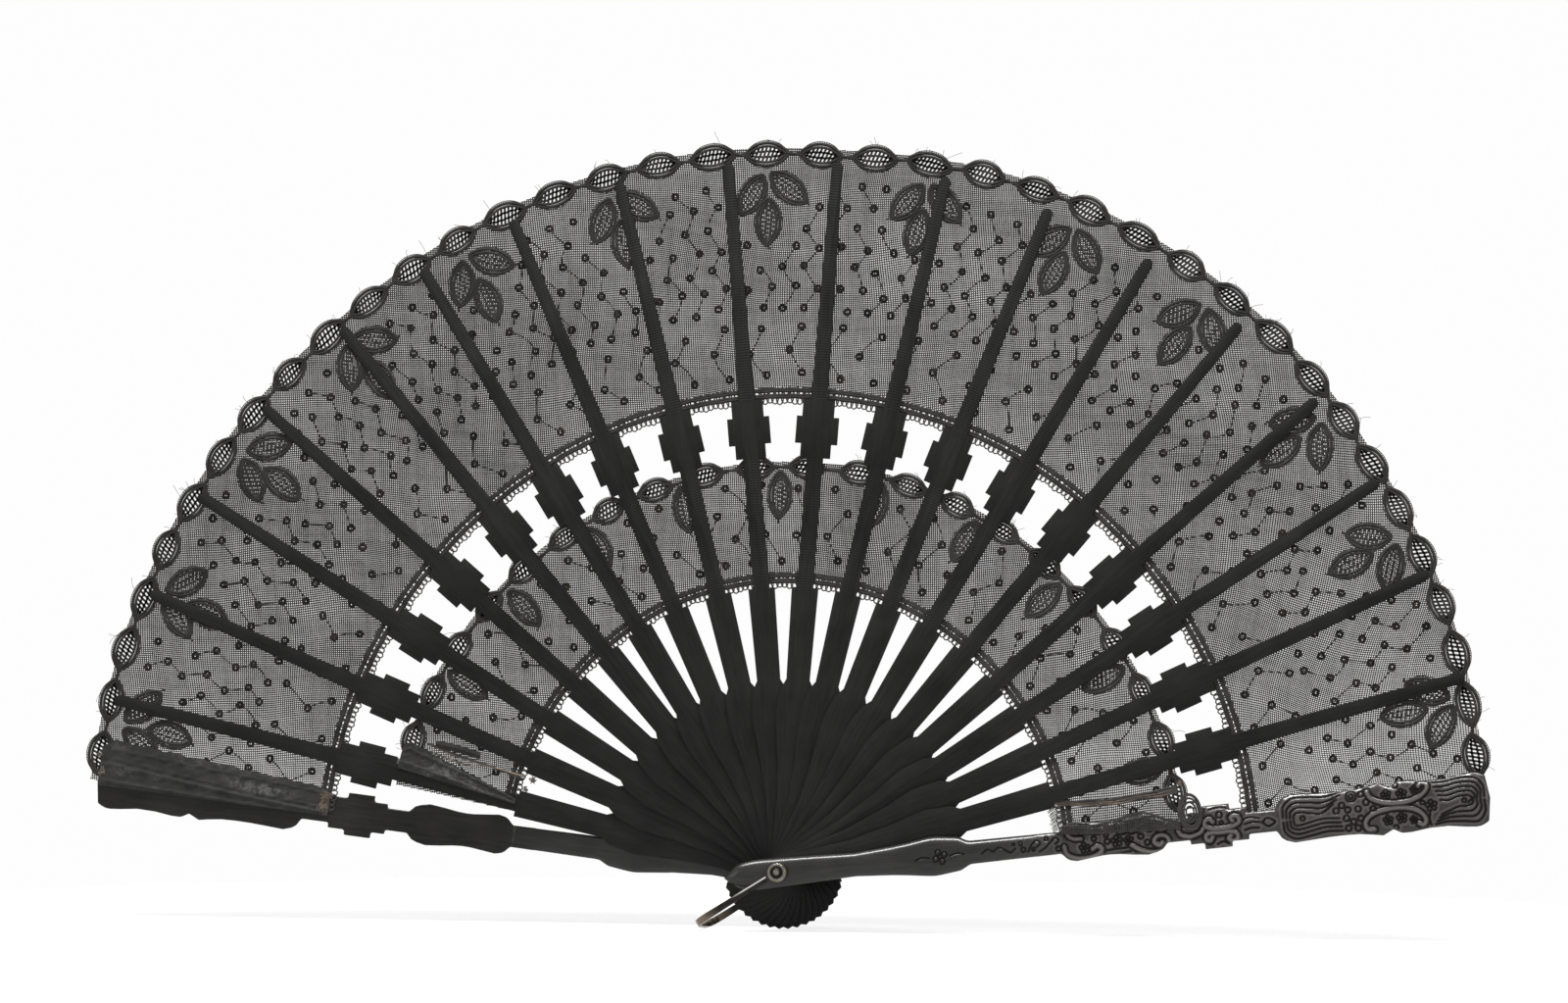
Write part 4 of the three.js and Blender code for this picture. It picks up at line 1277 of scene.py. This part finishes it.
# %% Cords, beads and leaves
CORD_HALF = 0.56 * MM
INNER_CORD_HALF = 0.46 * MM
INNER_CORD_INSET = 1.1 * MM
CORD_DEPTH = 0.3 * MM
FILL_ROWS = 3
BEAD_CELL = 1.3 * MM
LEAF_CELL = 1.4 * MM
BEAD_FILL = 0.45 * MM
LEAF_FILL = 0.3 * MM
CELL_LEAN = 0.045
FRINGE_REACH = 0.85 * MM
FRINGE_HALF = 0.16 * MM
FRINGE_PITCH = 0.85 * MM
LONGEST_JOIN = 9 * MM


def lay_outline(store, band, shape, inset, half_width):
    """A thread that runs round an almond, at an inset from its edge."""
    turns = np.linspace(0, 2 * math.pi, 44)
    along = np.cos(turns) * (1 - 1.3 * inset / shape["length"])
    across = np.maximum(almond_half(shape, along) - inset, 0) * np.sign(np.sin(turns) + 1e-12)
    lay(store, band, from_almond(shape, along, across), half_width, CORD_DEPTH, FOUR_SIDED, kind=CORDED_AND_SHADE)


def lay_fill(store, band, shape, cell, half_width):
    """Lengthwise threads, and short threads across that make staggered cells between them."""
    inner = INNER_CORD_INSET * 0.9
    reach = 1 - 2.4 * inner / shape["length"]
    lines = np.linspace(-reach, reach, 15)
    room = np.maximum(almond_half(shape, lines) - inner, 0)
    threads = []
    for row in range(1, FILL_ROWS):
        wave = 0.12 * MM * np.sin(lines * 19 + row)
        threads.append(from_almond(shape, lines, room * (2 * row / FILL_ROWS - 1) + wave))
    count = int(reach * shape["length"] / cell)
    for row in range(FILL_ROWS):
        for place in range(count):
            along = ((place + 0.5 + 0.5 * (row % 2)) / count * 2 - 1) * reach
            side = max(half_at(shape, along) - inner, 0)
            if side < 0.2 * MM:
                continue
            across = np.array([2 * row / FILL_ROWS - 1, 2 * (row + 1) / FILL_ROWS - 1]) * side
            leaned = np.array([along - CELL_LEAN, along + CELL_LEAN])
            threads.append(from_almond(shape, leaned, across))
    for thread in threads:
        lay(store, band, thread, half_width, FINE_DEPTH, THREE_SIDED, kind=CORDED_AND_SHADE)


def lay_fringe(store, band, shape):
    """A row of tiny open cells along both sides of an almond: a thin line on short spokes."""
    lines = np.linspace(-0.9, 0.9, 30)
    count = int(0.9 * shape["length"] / FRINGE_PITCH)
    for side in (1, -1):
        edge = (almond_half(shape, lines) + FRINGE_REACH * (1 - lines ** 4)) * side
        lay(store, band, from_almond(shape, lines, edge), FRINGE_HALF, FINE_DEPTH, THREE_SIDED)
        for place in range(count):
            along = (place + 0.5) / count * 1.7 - 0.85
            near = half_at(shape, along)
            across = np.array([near, near + FRINGE_REACH * (1 - along ** 4)]) * side
            spoke = from_almond(shape, np.array([along, along]), across)
            lay(store, band, spoke, FRINGE_HALF, FINE_DEPTH, THREE_SIDED)


def lay_almond(store, band, shape, cell, fill_half):
    """One bead or leaf: a double cord round it, cells inside it and a fringe of finer cells outside."""
    lay_outline(store, band, shape, 0, CORD_HALF)
    lay_outline(store, band, shape, INNER_CORD_INSET, INNER_CORD_HALF)
    lay_fill(store, band, shape, cell, fill_half)
    lay_fringe(store, band, shape)


def lay_joining_cord(store, band, first, second):
    """Two strands that cross once between the tips of neighbouring beads."""
    start = point_at(first, 0.9)
    end = point_at(second, -0.9)
    away = end - start
    if np.hypot(*away) > LONGEST_JOIN:
        return
    shares = np.linspace(0, 1, 7)[:, None]
    side = np.array([-away[1], away[0]]) / np.hypot(*away) * 0.34 * MM
    for sign in (1, -1):
        strand = start + away * shares + side * sign * np.cos(math.pi * shares)
        lay(store, band, strand, 0.46 * MM, 0.24 * MM, FOUR_SIDED, -0.04 * MM * sign, kind=CORDED_AND_SHADE)


def lay_tail(store, band, shape, random):
    """The knot at the tip of a leaf and its short tail."""
    tip = point_at(shape, 0.97)
    way = shape["heading"] + random.normal(0, 0.5)
    bent = way + random.normal(0, 0.7)
    first = tip + 1.1 * MM * np.array([math.cos(way), math.sin(way)])
    second = first + 1.0 * MM * np.array([math.cos(bent), math.sin(bent)])
    lay(store, band, np.array([tip, first, second]), 0.42 * MM, 0.16 * MM, SQUARE, kind=CORDED_AND_SHADE)


# %% [markdown]
# The straight edges towards the rivet are two doubled cords with ladders of stitches and a row of loops.

# %% Straight edges of the bands


def lay_arc(store, band, radius, lift):
    """One strand of a cord, which wavers a little."""
    angles = np.arange(band["start"], band["end"] + 0.5, sweep(1.6 * MM, radius))
    radii = radius + 0.14 * MM * np.sin(angles * 3.1 + lift * 1e5) * np.sin(angles * 0.71 + 1)
    lay(store, band, on_fan(radii, angles), CORD_HALF, 0.24 * MM, FOUR_SIDED, lift, kind=CORDED_AND_SHADE)


def lay_loops(store, band, radius, height, pitch):
    """A row of small looped stitches below the lower cord."""
    turns = math.radians(band["end"] - band["start"]) * radius / pitch
    t = np.arange(0, turns, 1 / 10)
    phase = 2 * math.pi * t
    angles = band["start"] + sweep(1, radius) * (t * pitch - 0.4 * pitch * np.sin(phase))
    radii = radius - height / 2 * (1 - np.cos(phase)) * (1 + 0.14 * np.sin(t * 1.7))
    lay(store, band, on_fan(radii, angles), 0.24 * MM, 0.16 * MM, FOUR_SIDED)


def lay_ladder(store, band, low, high, pitch):
    radius = (low + high) / 2
    for angle in np.arange(band["start"], band["end"], sweep(pitch, radius)):
        lean = sweep(0.5 * MM, radius) * math.sin(angle * 7)
        rung = on_fan(np.array([low, high]), np.array([angle, angle + lean]))
        lay(store, band, rung, 0.3 * MM, 0.14 * MM, FOUR_SIDED)


def lay_lower_edge(store, band, low, step):
    """Two doubled cords with a ladder between them, and loops below."""
    high = low + 2.1 * step
    for radius, lift in (
        (high + 0.3 * MM, 0.05),
        (high - 0.3 * MM, -0.05),
        (low + 0.35 * MM, 0.05),
        (low - 0.3 * MM, -0.06),
    ):
        lay_arc(store, band, radius, lift * MM)
    lay_ladder(store, band, low, high, 1.02 * MM)
    lay_ladder(store, band, high, high + 1.1 * MM, 0.9 * MM)
    lay_loops(store, band, low - 0.2 * MM, 2.3 * step, 1.72 * MM)


# %% [markdown]
# Stray fibres stand out past the beads. With them the trim of both bands is laid.

# %% Loose hairs, and laying the trim
HAIR_HALF = 0.075 * MM


def lay_hairs(store, band, shapes, count, seed):
    random = np.random.default_rng(seed)
    for _ in range(count):
        shape = shapes[random.integers(len(shapes))]
        along = random.uniform(-0.95, 0.95)
        start = point_at(shape, along, half_at(shape, along))
        way = shape["heading"] + math.pi / 2 + random.normal(0, 0.7)
        length = random.uniform(1.2, 3.4) * MM * (2 if random.random() < 0.12 else 1)
        turn = way + np.linspace(0, 1, 6) * random.normal(0, 1.0)
        steps = np.stack([np.cos(turn), np.sin(turn)], axis=1) * length / 5
        lay(store, band, start + np.cumsum(steps, axis=0) - steps[0], HAIR_HALF, HAIR_HALF, THREE_SIDED)


outer_trim = new_store(outer_band)
inner_trim = new_store(inner_band)
tail_random = np.random.default_rng(5)
for store, band, beads_here, leaves_here in (
    (outer_trim, outer_band, beads, outer_leaves),
    (inner_trim, inner_band, inner_beads, inner_leaves),
):
    for shape in beads_here:
        lay_almond(store, band, shape, BEAD_CELL, BEAD_FILL)
    for first, second in zip(beads_here[1:], beads_here[:-1]):
        lay_joining_cord(store, band, first, second)
    for shape in leaves_here:
        lay_almond(store, band, shape, LEAF_CELL, LEAF_FILL)
        lay_tail(store, band, shape, tail_random)
lay_lower_edge(outer_trim, outer_band, 160.2 * MM, 1.0 * MM)
lay_lower_edge(inner_trim, inner_band, 98.1 * MM, 0.92 * MM)
lay_hairs(outer_trim, outer_band, beads, count=150, seed=41)
lay_hairs(inner_trim, inner_band, inner_beads, count=70, seed=42)
print("trim faces", *(sum(len(gap["faces"]) for gap in trim) for trim in (outer_trim, inner_trim)))

# %% [markdown]
# At both ends of the bands the old lace has come loose. At the front guard the inner band is rolled over
# and lies doubled on the guard's edge. At the other end its edge is rolled, a wide dark cord stands for the
# shade inside the roll as painted shade, and old glue has browned the threads.

# %% Loose ends
GUARD_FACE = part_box("front_guard")[0].y - 0.3 * MM


def lay_loose(bin_of_gap, places, half_width, level=GUARD_FACE):
    """A thread that lies on the front guard, through (radius in mm, blade angle) places."""
    line = curve(*places)
    line = on_fan(line[::8, 0] * MM, line[::8, 1])
    corners, faces = tube(line, np.full(len(line), level), half_width, 0.16 * MM, FOUR_SIDED)
    add_mesh(bin_of_gap, corners, faces, PLAIN)


def lay_tangle(store, band, radius, angle, spread, count, random):
    """Short curls of thread that old glue holds together."""
    middle = on_fan(np.array([radius * MM]), np.array([angle]))[0]
    for _ in range(count):
        steps = np.cumsum(random.normal(0, 0.9, 7)) + random.uniform(0, 6)
        path = np.cumsum(np.stack([np.cos(steps), np.sin(steps)], axis=1) * spread * 0.3, axis=0)
        path += middle + random.normal(0, spread * 0.4, 2) - path.mean(axis=0)
        lift = random.uniform(-0.6, -0.2) * MM
        lay(store, band, path, 0.17 * MM, 0.15 * MM, THREE_SIDED, lift, kind=GLUED)


loose_random = np.random.default_rng(17)
front_bin = inner_trim[0]
fold_line = ((97.6, 9.9), (109.1, 9.2), (119.3, 9.9), (126.0, 9.9), (132.2, 8.6), (137.0, 7.9))
low_line = ((97.3, 8.5), (108.8, 7.7), (118.7, 7.5), (125.3, 7.2), (131.9, 7.1), (137.0, 7.0))
for share in np.linspace(0, 1, 7):
    between_lines = np.array(fold_line) * share + np.array(low_line) * (1 - share)
    lay_loose(front_bin, between_lines, 0.3 * MM if share in (0, 1) else 0.17 * MM)
foot, head = curve(*low_line), curve(*fold_line)
for share in np.linspace(0, 1, 62):
    at = int(share * (len(foot) - 1))
    lay_loose(front_bin, (foot[at], (foot[at] + head[at]) / 2, head[at]), 0.17 * MM, GUARD_FACE - 0.2 * MM)
for reach, across, width in ((3.6, 2.4, 0.5), (2.9, 1.9, 0.36), (2.1, 1.35, 0.36), (1.3, 0.8, 0.3)):
    turns = np.linspace(0, 2 * math.pi, 13)
    coil = [(140.9 + reach * math.cos(turn), 9.0 + across * math.sin(turn)) for turn in turns]
    lay_loose(front_bin, coil, width * MM)
for angle in (7.8, 8.6, 9.4, 10.2):
    lay_loose(front_bin, ((138.8, angle), (141.0, angle + 0.2), (143.2, angle)), 0.3 * MM)
line = curve((96.8, 14.6), (105.8, 13.5), (114.9, 12.7), (126.9, 12.5), (138.3, 12.4))[::6]
for shift, kind in ((0, GLUED), (0.2, PLAIN), (-0.18, PLAIN), (0.38, PLAIN), (-0.36, GLUED)):
    twist = shift + 0.1 * np.sin(np.arange(len(line)) * 0.8 + shift * 20)
    twisted = on_fan(line[:, 0] * MM, line[:, 1] + twist)
    lay(inner_trim, inner_band, twisted, 0.42 * MM, 0.3 * MM, FOUR_SIDED, -0.4 * MM, kind=kind)
for angle in np.linspace(9.2, 13.8, 17):
    start = 97.8 + loose_random.normal(0, 0.5)
    end = 94.6 - loose_random.random()
    lay_loose(front_bin, ((start, angle), (96.2, angle + 0.2), (end, angle - 0.3)), 0.15 * MM)

for places, width, kind in (
    (((131.1, 161.3), (122.0, 161.6), (112.2, 161.5), (103.0, 161.2), (94.6, 160.9)), 0.36, GLUED),
    (((131.1, 161.2), (120.0, 161.4), (108.0, 161.3), (96.0, 161.5)), 0.36, PLAIN),
    # A wide dark cord laid where the rolled lace lies in shade: painted shade.
    (((128.4, 160.9), (124.0, 160.6), (119.7, 160.4), (112.7, 160.2)), 1.25, CORDED_AND_SHADE),
    (((134.5, 162.6), (129.0, 162.3), (122.0, 162.5), (114.0, 162.4)), 0.3, GLUED),
):
    line = curve(*places)[::6]
    rolled = on_fan(line[:, 0] * MM, line[:, 1])
    lay(inner_trim, inner_band, rolled, width * MM, 0.3 * MM, FOUR_SIDED, -0.45 * MM, kind=kind)
for store, band, tangles in (
    (inner_trim, inner_band, (
        (92.7, 161.0, 1.0, 16), (96.9, 166.0, 1.4, 30), (139.2, 165.2, 1.3, 22),
        (94.4, 163.4, 0.9, 12), (97.0, 14.6, 0.8, 12), (138.6, 13.2, 0.8, 10))),
    (outer_trim, outer_band, (
        (161.3, 171.4, 1.4, 26), (162.0, 172.7, 1.4, 26), (239.6, 172.5, 1.2, 14), (241.0, 171.2, 1.0, 10))),
):
    for radius, angle, spread, count in tangles:
        lay_tangle(store, band, radius, angle, spread * MM, count, loose_random)
print("loose ends laid")

# %% [markdown]
# Sequins sit in staggered rows, joined by zigzag threads. Below the dense rows of the outer band lie a few
# sparse ones.

# %% Sequins and the threads between them
SEQUIN_RADIUS = 1.46 * MM
SEQUIN_HOLE = 0.5 * MM
SEQUIN_THICKNESS = 0.16 * MM
SEQUIN_CORNERS = 12
CLEAR_OF_SHAPES = 2.0 * MM
LONGEST_JOINING_THREAD = 16 * MM


def lay_sequin(store, band, centre, tilt):
    """A round sequin with a small hole: a closed ring of slightly domed parts."""
    angle = math.degrees(math.atan2(centre[1], centre[0]))
    gap = int(gap_of(np.array([angle]), band)[0])
    level = float(np.interp(angle, band["knot_angles"], band["knot_levels"])) - 0.26 * MM
    count = SEQUIN_CORNERS
    turns = 2 * math.pi * np.arange(count) / count + tilt
    rings = ((SEQUIN_RADIUS, 0.3), (SEQUIN_RADIUS * 0.72, -0.5), (SEQUIN_HOLE, -0.2), (SEQUIN_HOLE, 0.5))
    corners = []
    for ring_radius, depth in rings:
        x = centre[0] + ring_radius * np.cos(turns)
        z = centre[1] + ring_radius * np.sin(turns)
        y = np.full(count, level + depth * SEQUIN_THICKNESS)
        corners.append(np.stack([x, y, z], axis=1))
    faces = []
    for ring_number in range(len(rings)):
        here, after = ring_number * count, (ring_number + 1) % len(rings) * count
        for side in range(count):
            nxt = (side + 1) % count
            faces.append((here + side, here + nxt, after + nxt, after + side))
    add_mesh(store[gap], np.concatenate(corners), faces, SEQUIN)


def sequin_row(store, band, radius, pitch, offset, shapes, random):
    """One row of sequins, each a little off its place. Gives their places by column."""
    row = {}
    step = sweep(pitch, radius)
    for column in range(int((band["end"] - band["start"] - 1.5) / step) + 1):
        angle = band["start"] + 1.0 + (column + offset) * step + random.normal(0, sweep(0.5 * MM, radius))
        place = on_fan(np.array([radius + random.normal(0, 0.6 * MM)]), np.array([angle]))
        taken = any(almond_field(shape, place)[0] > -CLEAR_OF_SHAPES for shape in shapes)
        if taken or angle > band["end"] - 0.5:
            continue
        lay_sequin(store, band, place[0], random.random())
        row[column] = place[0]
    return row


def join_rows(store, band, upper, lower, lean, random):
    """Fine threads from the sequins of one row to those of the next, leaning to one side or straight."""
    for column, start in upper.items():
        end = lower.get(column + lean)
        if end is None or random.random() < 0.1 or np.hypot(*(end - start)) > LONGEST_JOINING_THREAD:
            continue
        shares = np.linspace(0, 1, 5)[:, None]
        away = end - start
        bow = np.array([-away[1], away[0]]) * random.normal(0, 0.06)
        line = start + away * shares + bow * (4 * shares * (1 - shares))
        lay(store, band, line, 0.19 * MM, 0.12 * MM, FOUR_SIDED, -0.24 * MM, kind=CORDED_AND_SHADE)


def lay_sequins(store, band, dense_radii, sparse_radii, pitches, shapes, seed):
    """Rows that keep the angle of the top row's pitch. The dense rows are joined left and right by turns."""
    random = np.random.default_rng(seed)
    top = dense_radii[0]
    rows = []
    for row, radius in enumerate(dense_radii):
        offset = 0.5 * (row % 2)
        rows.append(sequin_row(store, band, radius, pitches[0] * radius / top, offset, shapes, random))
    for row, (upper, lower) in enumerate(zip(rows, rows[1:])):
        join_rows(store, band, upper, lower, 1 if row % 2 else -1, random)
    below = []
    for row, radius in enumerate(sparse_radii):
        offset = 0.3 + 0.4 * (row % 2)
        below.append(sequin_row(store, band, radius, pitches[1] * radius / top, offset, shapes, random))
    for upper, lower in zip(below, below[1:]):
        join_rows(store, band, upper, lower, 0, random)
    return sum(map(len, rows + below))


outer_count = lay_sequins(outer_trim, outer_band, np.arange(231.5, 189, -6.9) * MM,
                          np.array([182.8, 174.9, 167.6]) * MM, (9.1 * MM, 17.0 * MM),
                          beads + outer_leaves, seed=21)
inner_count = lay_sequins(inner_trim, inner_band, np.array([129.6, 122.0, 113.8, 105.6]) * MM,
                          np.array([]), (12.2 * MM, 12.2 * MM), inner_beads + inner_leaves, seed=22)
print("sequins", outer_count, inner_count)

# %% [markdown]
# Each gap of each band becomes one piece of net and one piece of trim.

# %% Lace pieces, gap by gap
for band, net_store, trim_store, leaf_node in (
    (outer_band, outer_net, outer_trim, "outer_lace_leaf"),
    (inner_band, inner_net, inner_trim, "inner_lace_leaf"),
):
    for gap in range(band["last_gap"] + 1):
        net = build_gap_piece(f"{band['name']}_net_{gap:02d}", net_store[gap], [black_thread])
        trim = build_gap_piece(f"{band['name']}_trim_{gap:02d}", trim_store[gap],
                               [black_thread, black_sequin, glued_thread, black_cord])
        area, width, length = net_area(band, gap)
        for piece in (net, trim):
            follow_blades(piece)
            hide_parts(leaf_node)
print("lace pieces made")

# %% [markdown]
# Two strips of black silk are glued over the lace's ends: one inside the rear guard, one on the last stick.

# %% Silk strips
WORN_SILK_AND_HIGHLIGHT = (0.09, 0.088, 0.083)
GLUED_SILK = (0.056, 0.036, 0.02)
FOLD_CREST_WEAR_AND_HIGHLIGHT = 0.045
SILK_COLUMNS = 110
SILK_ROWS = 32
SILK_RELIEF = 0.4 * MM
ROUNDED_END = 0.07


def silk_material():
    """Black silk: mottled, paler where it is worn and on the crests of its folds, wear together with a
    painted highlight, and brown where the glue came through.
    """
    material = thread_material("black_silk", (0.0038, 0.0037, 0.0036), (0.0135, 0.0129, 0.0122), 0.75)
    tree = material.node_tree
    shader = tree.nodes["Principled BSDF"]
    colour = shader.inputs["Base Color"].links[0].from_socket
    place = object_place(tree)
    speckle = ranged(tree, noise(tree, place, 1500.0, 3.0, 0.7), 0.38, 0.62, 0.15, 1.0)
    broken = ranged(tree, noise(tree, place, 330.0, 4.0, 0.65), 0.45, 0.56, 0.05, 1.0)
    patchy = maths(tree, "MULTIPLY", speckle, broken)
    # The 'worn' mark also carries the painted highlight on the fold crests.
    for attribute, tint in (("worn", WORN_SILK_AND_HIGHLIGHT), ("glue", GLUED_SILK)):
        colour = mixed(tree, maths(tree, "MULTIPLY", marked(tree, attribute), patchy), colour, tint)
    set_inputs(tree, shader, {"Base Color": colour})
    return material


black_silk = silk_material()


def patches(u, v, spots):
    """The sum of soft spots, each (u, v, reach in u, reach in v, amount)."""
    total = 0
    for middle_u, middle_v, reach_u, reach_v, amount in spots:
        away = ((u - middle_u) / reach_u) ** 2 + ((v - middle_v) / reach_v) ** 2
        total += amount * math.exp(-(away ** 1.6))
    return min(total, 1.0)


def fold_height(u, v, folds):
    """How far the silk stands up, from 0 to 1, and how pale the crests of its folds are painted: wear
    together with a painted highlight.
    """
    height, crest = 0, 0
    for fold_start, fold_end, width, amount in folds:
        side = (v - (fold_start * (1 - u) + fold_end * u)) / width
        height = max(height, amount * math.exp(-((side if side < 0 else 2.6 * side) ** 2)))
        # The crests of the folds are painted paler: wear together with a painted highlight.
        crest = max(crest, FOLD_CREST_WEAR_AND_HIGHLIGHT * amount * math.exp(-((2.2 * side) ** 2)))
    height += 0.22 * math.sin(u * 41 + v * 7) * math.sin(v * 17 + 3 * u) + 0.16 * math.sin(u * 90 + v * 31)
    flat_rim = min(1, 12 * v * (1 - v)) * min(1, 20 * u * (1 - u))
    return min(max(height, 0), 1) * flat_rim, crest


def silk_faces():
    """Faces of the front, the back and the rim between two even grids of points."""
    stride = SILK_ROWS + 1
    count = (SILK_COLUMNS + 1) * stride
    faces = []
    for column in range(SILK_COLUMNS):
        for row in range(SILK_ROWS):
            a = column * stride + row
            faces.append((a, a + stride, a + stride + 1, a + 1))
            faces.append((count + a, count + a + 1, count + a + stride + 1, count + a + stride))
    rim = list(range(SILK_ROWS))
    rim += [column * stride + SILK_ROWS for column in range(SILK_COLUMNS)]
    rim += [SILK_COLUMNS * stride + row for row in range(SILK_ROWS, 0, -1)]
    rim += [column * stride for column in range(SILK_COLUMNS, 0, -1)]
    for first, second in zip(rim, rim[1:] + rim[:1]):
        faces.append((first, second, count + second, count + first))
    return faces


def silk_strip(name, node_name, blade, corners, folds, worn, glue):
    """A closed folded sheet between four corners given as (along, across) of its blade, in millimetres."""
    low_start, low_end, high_end, high_start = (np.array(corner) * MM for corner in corners)
    c, s = math.cos(math.radians(blade_angles[blade])), math.sin(math.radians(blade_angles[blade]))
    front_level, back_level = (corner.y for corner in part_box(node_name))
    front, back, wear_and_highlight_values, glue_values = [], [], [], []
    for column in range(SILK_COLUMNS + 1):
        u = column / SILK_COLUMNS
        rounded = 0.22 * max(u - 0.93, 0) ** 2 / ROUNDED_END ** 2
        rounded = rounded + 0.02 * math.sin(u * 53) + 0.015 * math.sin(u * 131)
        for row in range(SILK_ROWS + 1):
            v = row / SILK_ROWS
            low = low_start * (1 - u) + low_end * u
            high = high_start * (1 - u) + high_end * u
            along, across = low * (1 - v) + high * v
            across *= 1 - rounded * v
            height, crest = fold_height(u, v, folds)
            lift = SILK_RELIEF * height
            x = along * c - across * s
            z = along * s + across * c
            front.append((x, front_level - lift, z))
            back.append((x, back_level - lift, z))
            # Worn spots and the painted highlight on the fold crests share one mark.
            wear_and_highlight_values.append(max(patches(u, v, worn), crest))
            glue_values.append(patches(u, v, glue))
    mesh = bpy.data.meshes.new(name)
    mesh.from_pydata(front + back, [], silk_faces())
    mesh.materials.append(black_silk)
    piece = put(name, mesh)
    mark(piece, "worn", wear_and_highlight_values * 2)
    mark(piece, "glue", glue_values * 2)
    turn_outward(piece)
    bpy.ops.object.shade_smooth_by_angle(angle=math.radians(50))
    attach(piece, body_names[blade])
    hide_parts(node_name)
    return piece


# A fold is (place across at the strip's start, place across at its end, width, height).
# A spot of wear or glue is (place along, place across, reach along, reach across, amount).
guard_silk = silk_strip(
    "guard_silk", "rear_guard_silk_strip", LAST_BLADE,
    ((159.8, 1.6), (240.4, 1.6), (240.4, -14.8), (159.8, -7.6)),
    ((0.12, 0.5, 0.07, 1.0), (0.0, 0.12, 0.06, 0.9), (0.82, 0.8, 0.05, 0.5), (0.3, 0.62, 0.04, 0.4)),
    ((0.28, 0.55, 0.13, 0.2, 0.75), (0.42, 0.62, 0.05, 0.12, 0.3), (0.9, 0.36, 0.06, 0.1, 0.45),
     (0.75, 0.34, 0.05, 0.06, 0.3), (0.45, 0.93, 0.3, 0.08, 0.35), (0.62, 0.8, 0.04, 0.1, 0.35),
     (0.93, 0.85, 0.05, 0.12, 0.3)),
    ((0.0, 0.42, 0.035, 0.4, 0.8), (0.02, 0.8, 0.02, 0.12, 0.6), (1.0, 0.3, 0.025, 0.25, 0.3)))
stick_silk = silk_strip(
    "stick_silk", "stick_18_silk_strip", STICK_COUNT,
    ((96.6, 0.4), (138.8, -1.6), (138.8, -11.8), (96.6, -1.4)),
    ((0.3, 0.25, 0.1, 1.0), (0.9, 0.75, 0.08, 0.8)),
    ((0.55, 0.5, 0.22, 0.25, 0.85), (0.3, 0.2, 0.2, 0.07, 0.9), (0.62, 0.9, 0.25, 0.06, 0.7),
     (0.8, 0.12, 0.15, 0.1, 0.4)),
    ((0.95, 0.6, 0.1, 0.35, 0.3), (0.22, 0.55, 0.12, 0.2, 0.3), (0.02, 0.5, 0.05, 0.8, 0.8)))
print("silk faces each", len(guard_silk.data.polygons))

# %% Boxes of the frame and of the dressed fan
low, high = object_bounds()
print("visual box", [round(v, 4) for v in high - low])
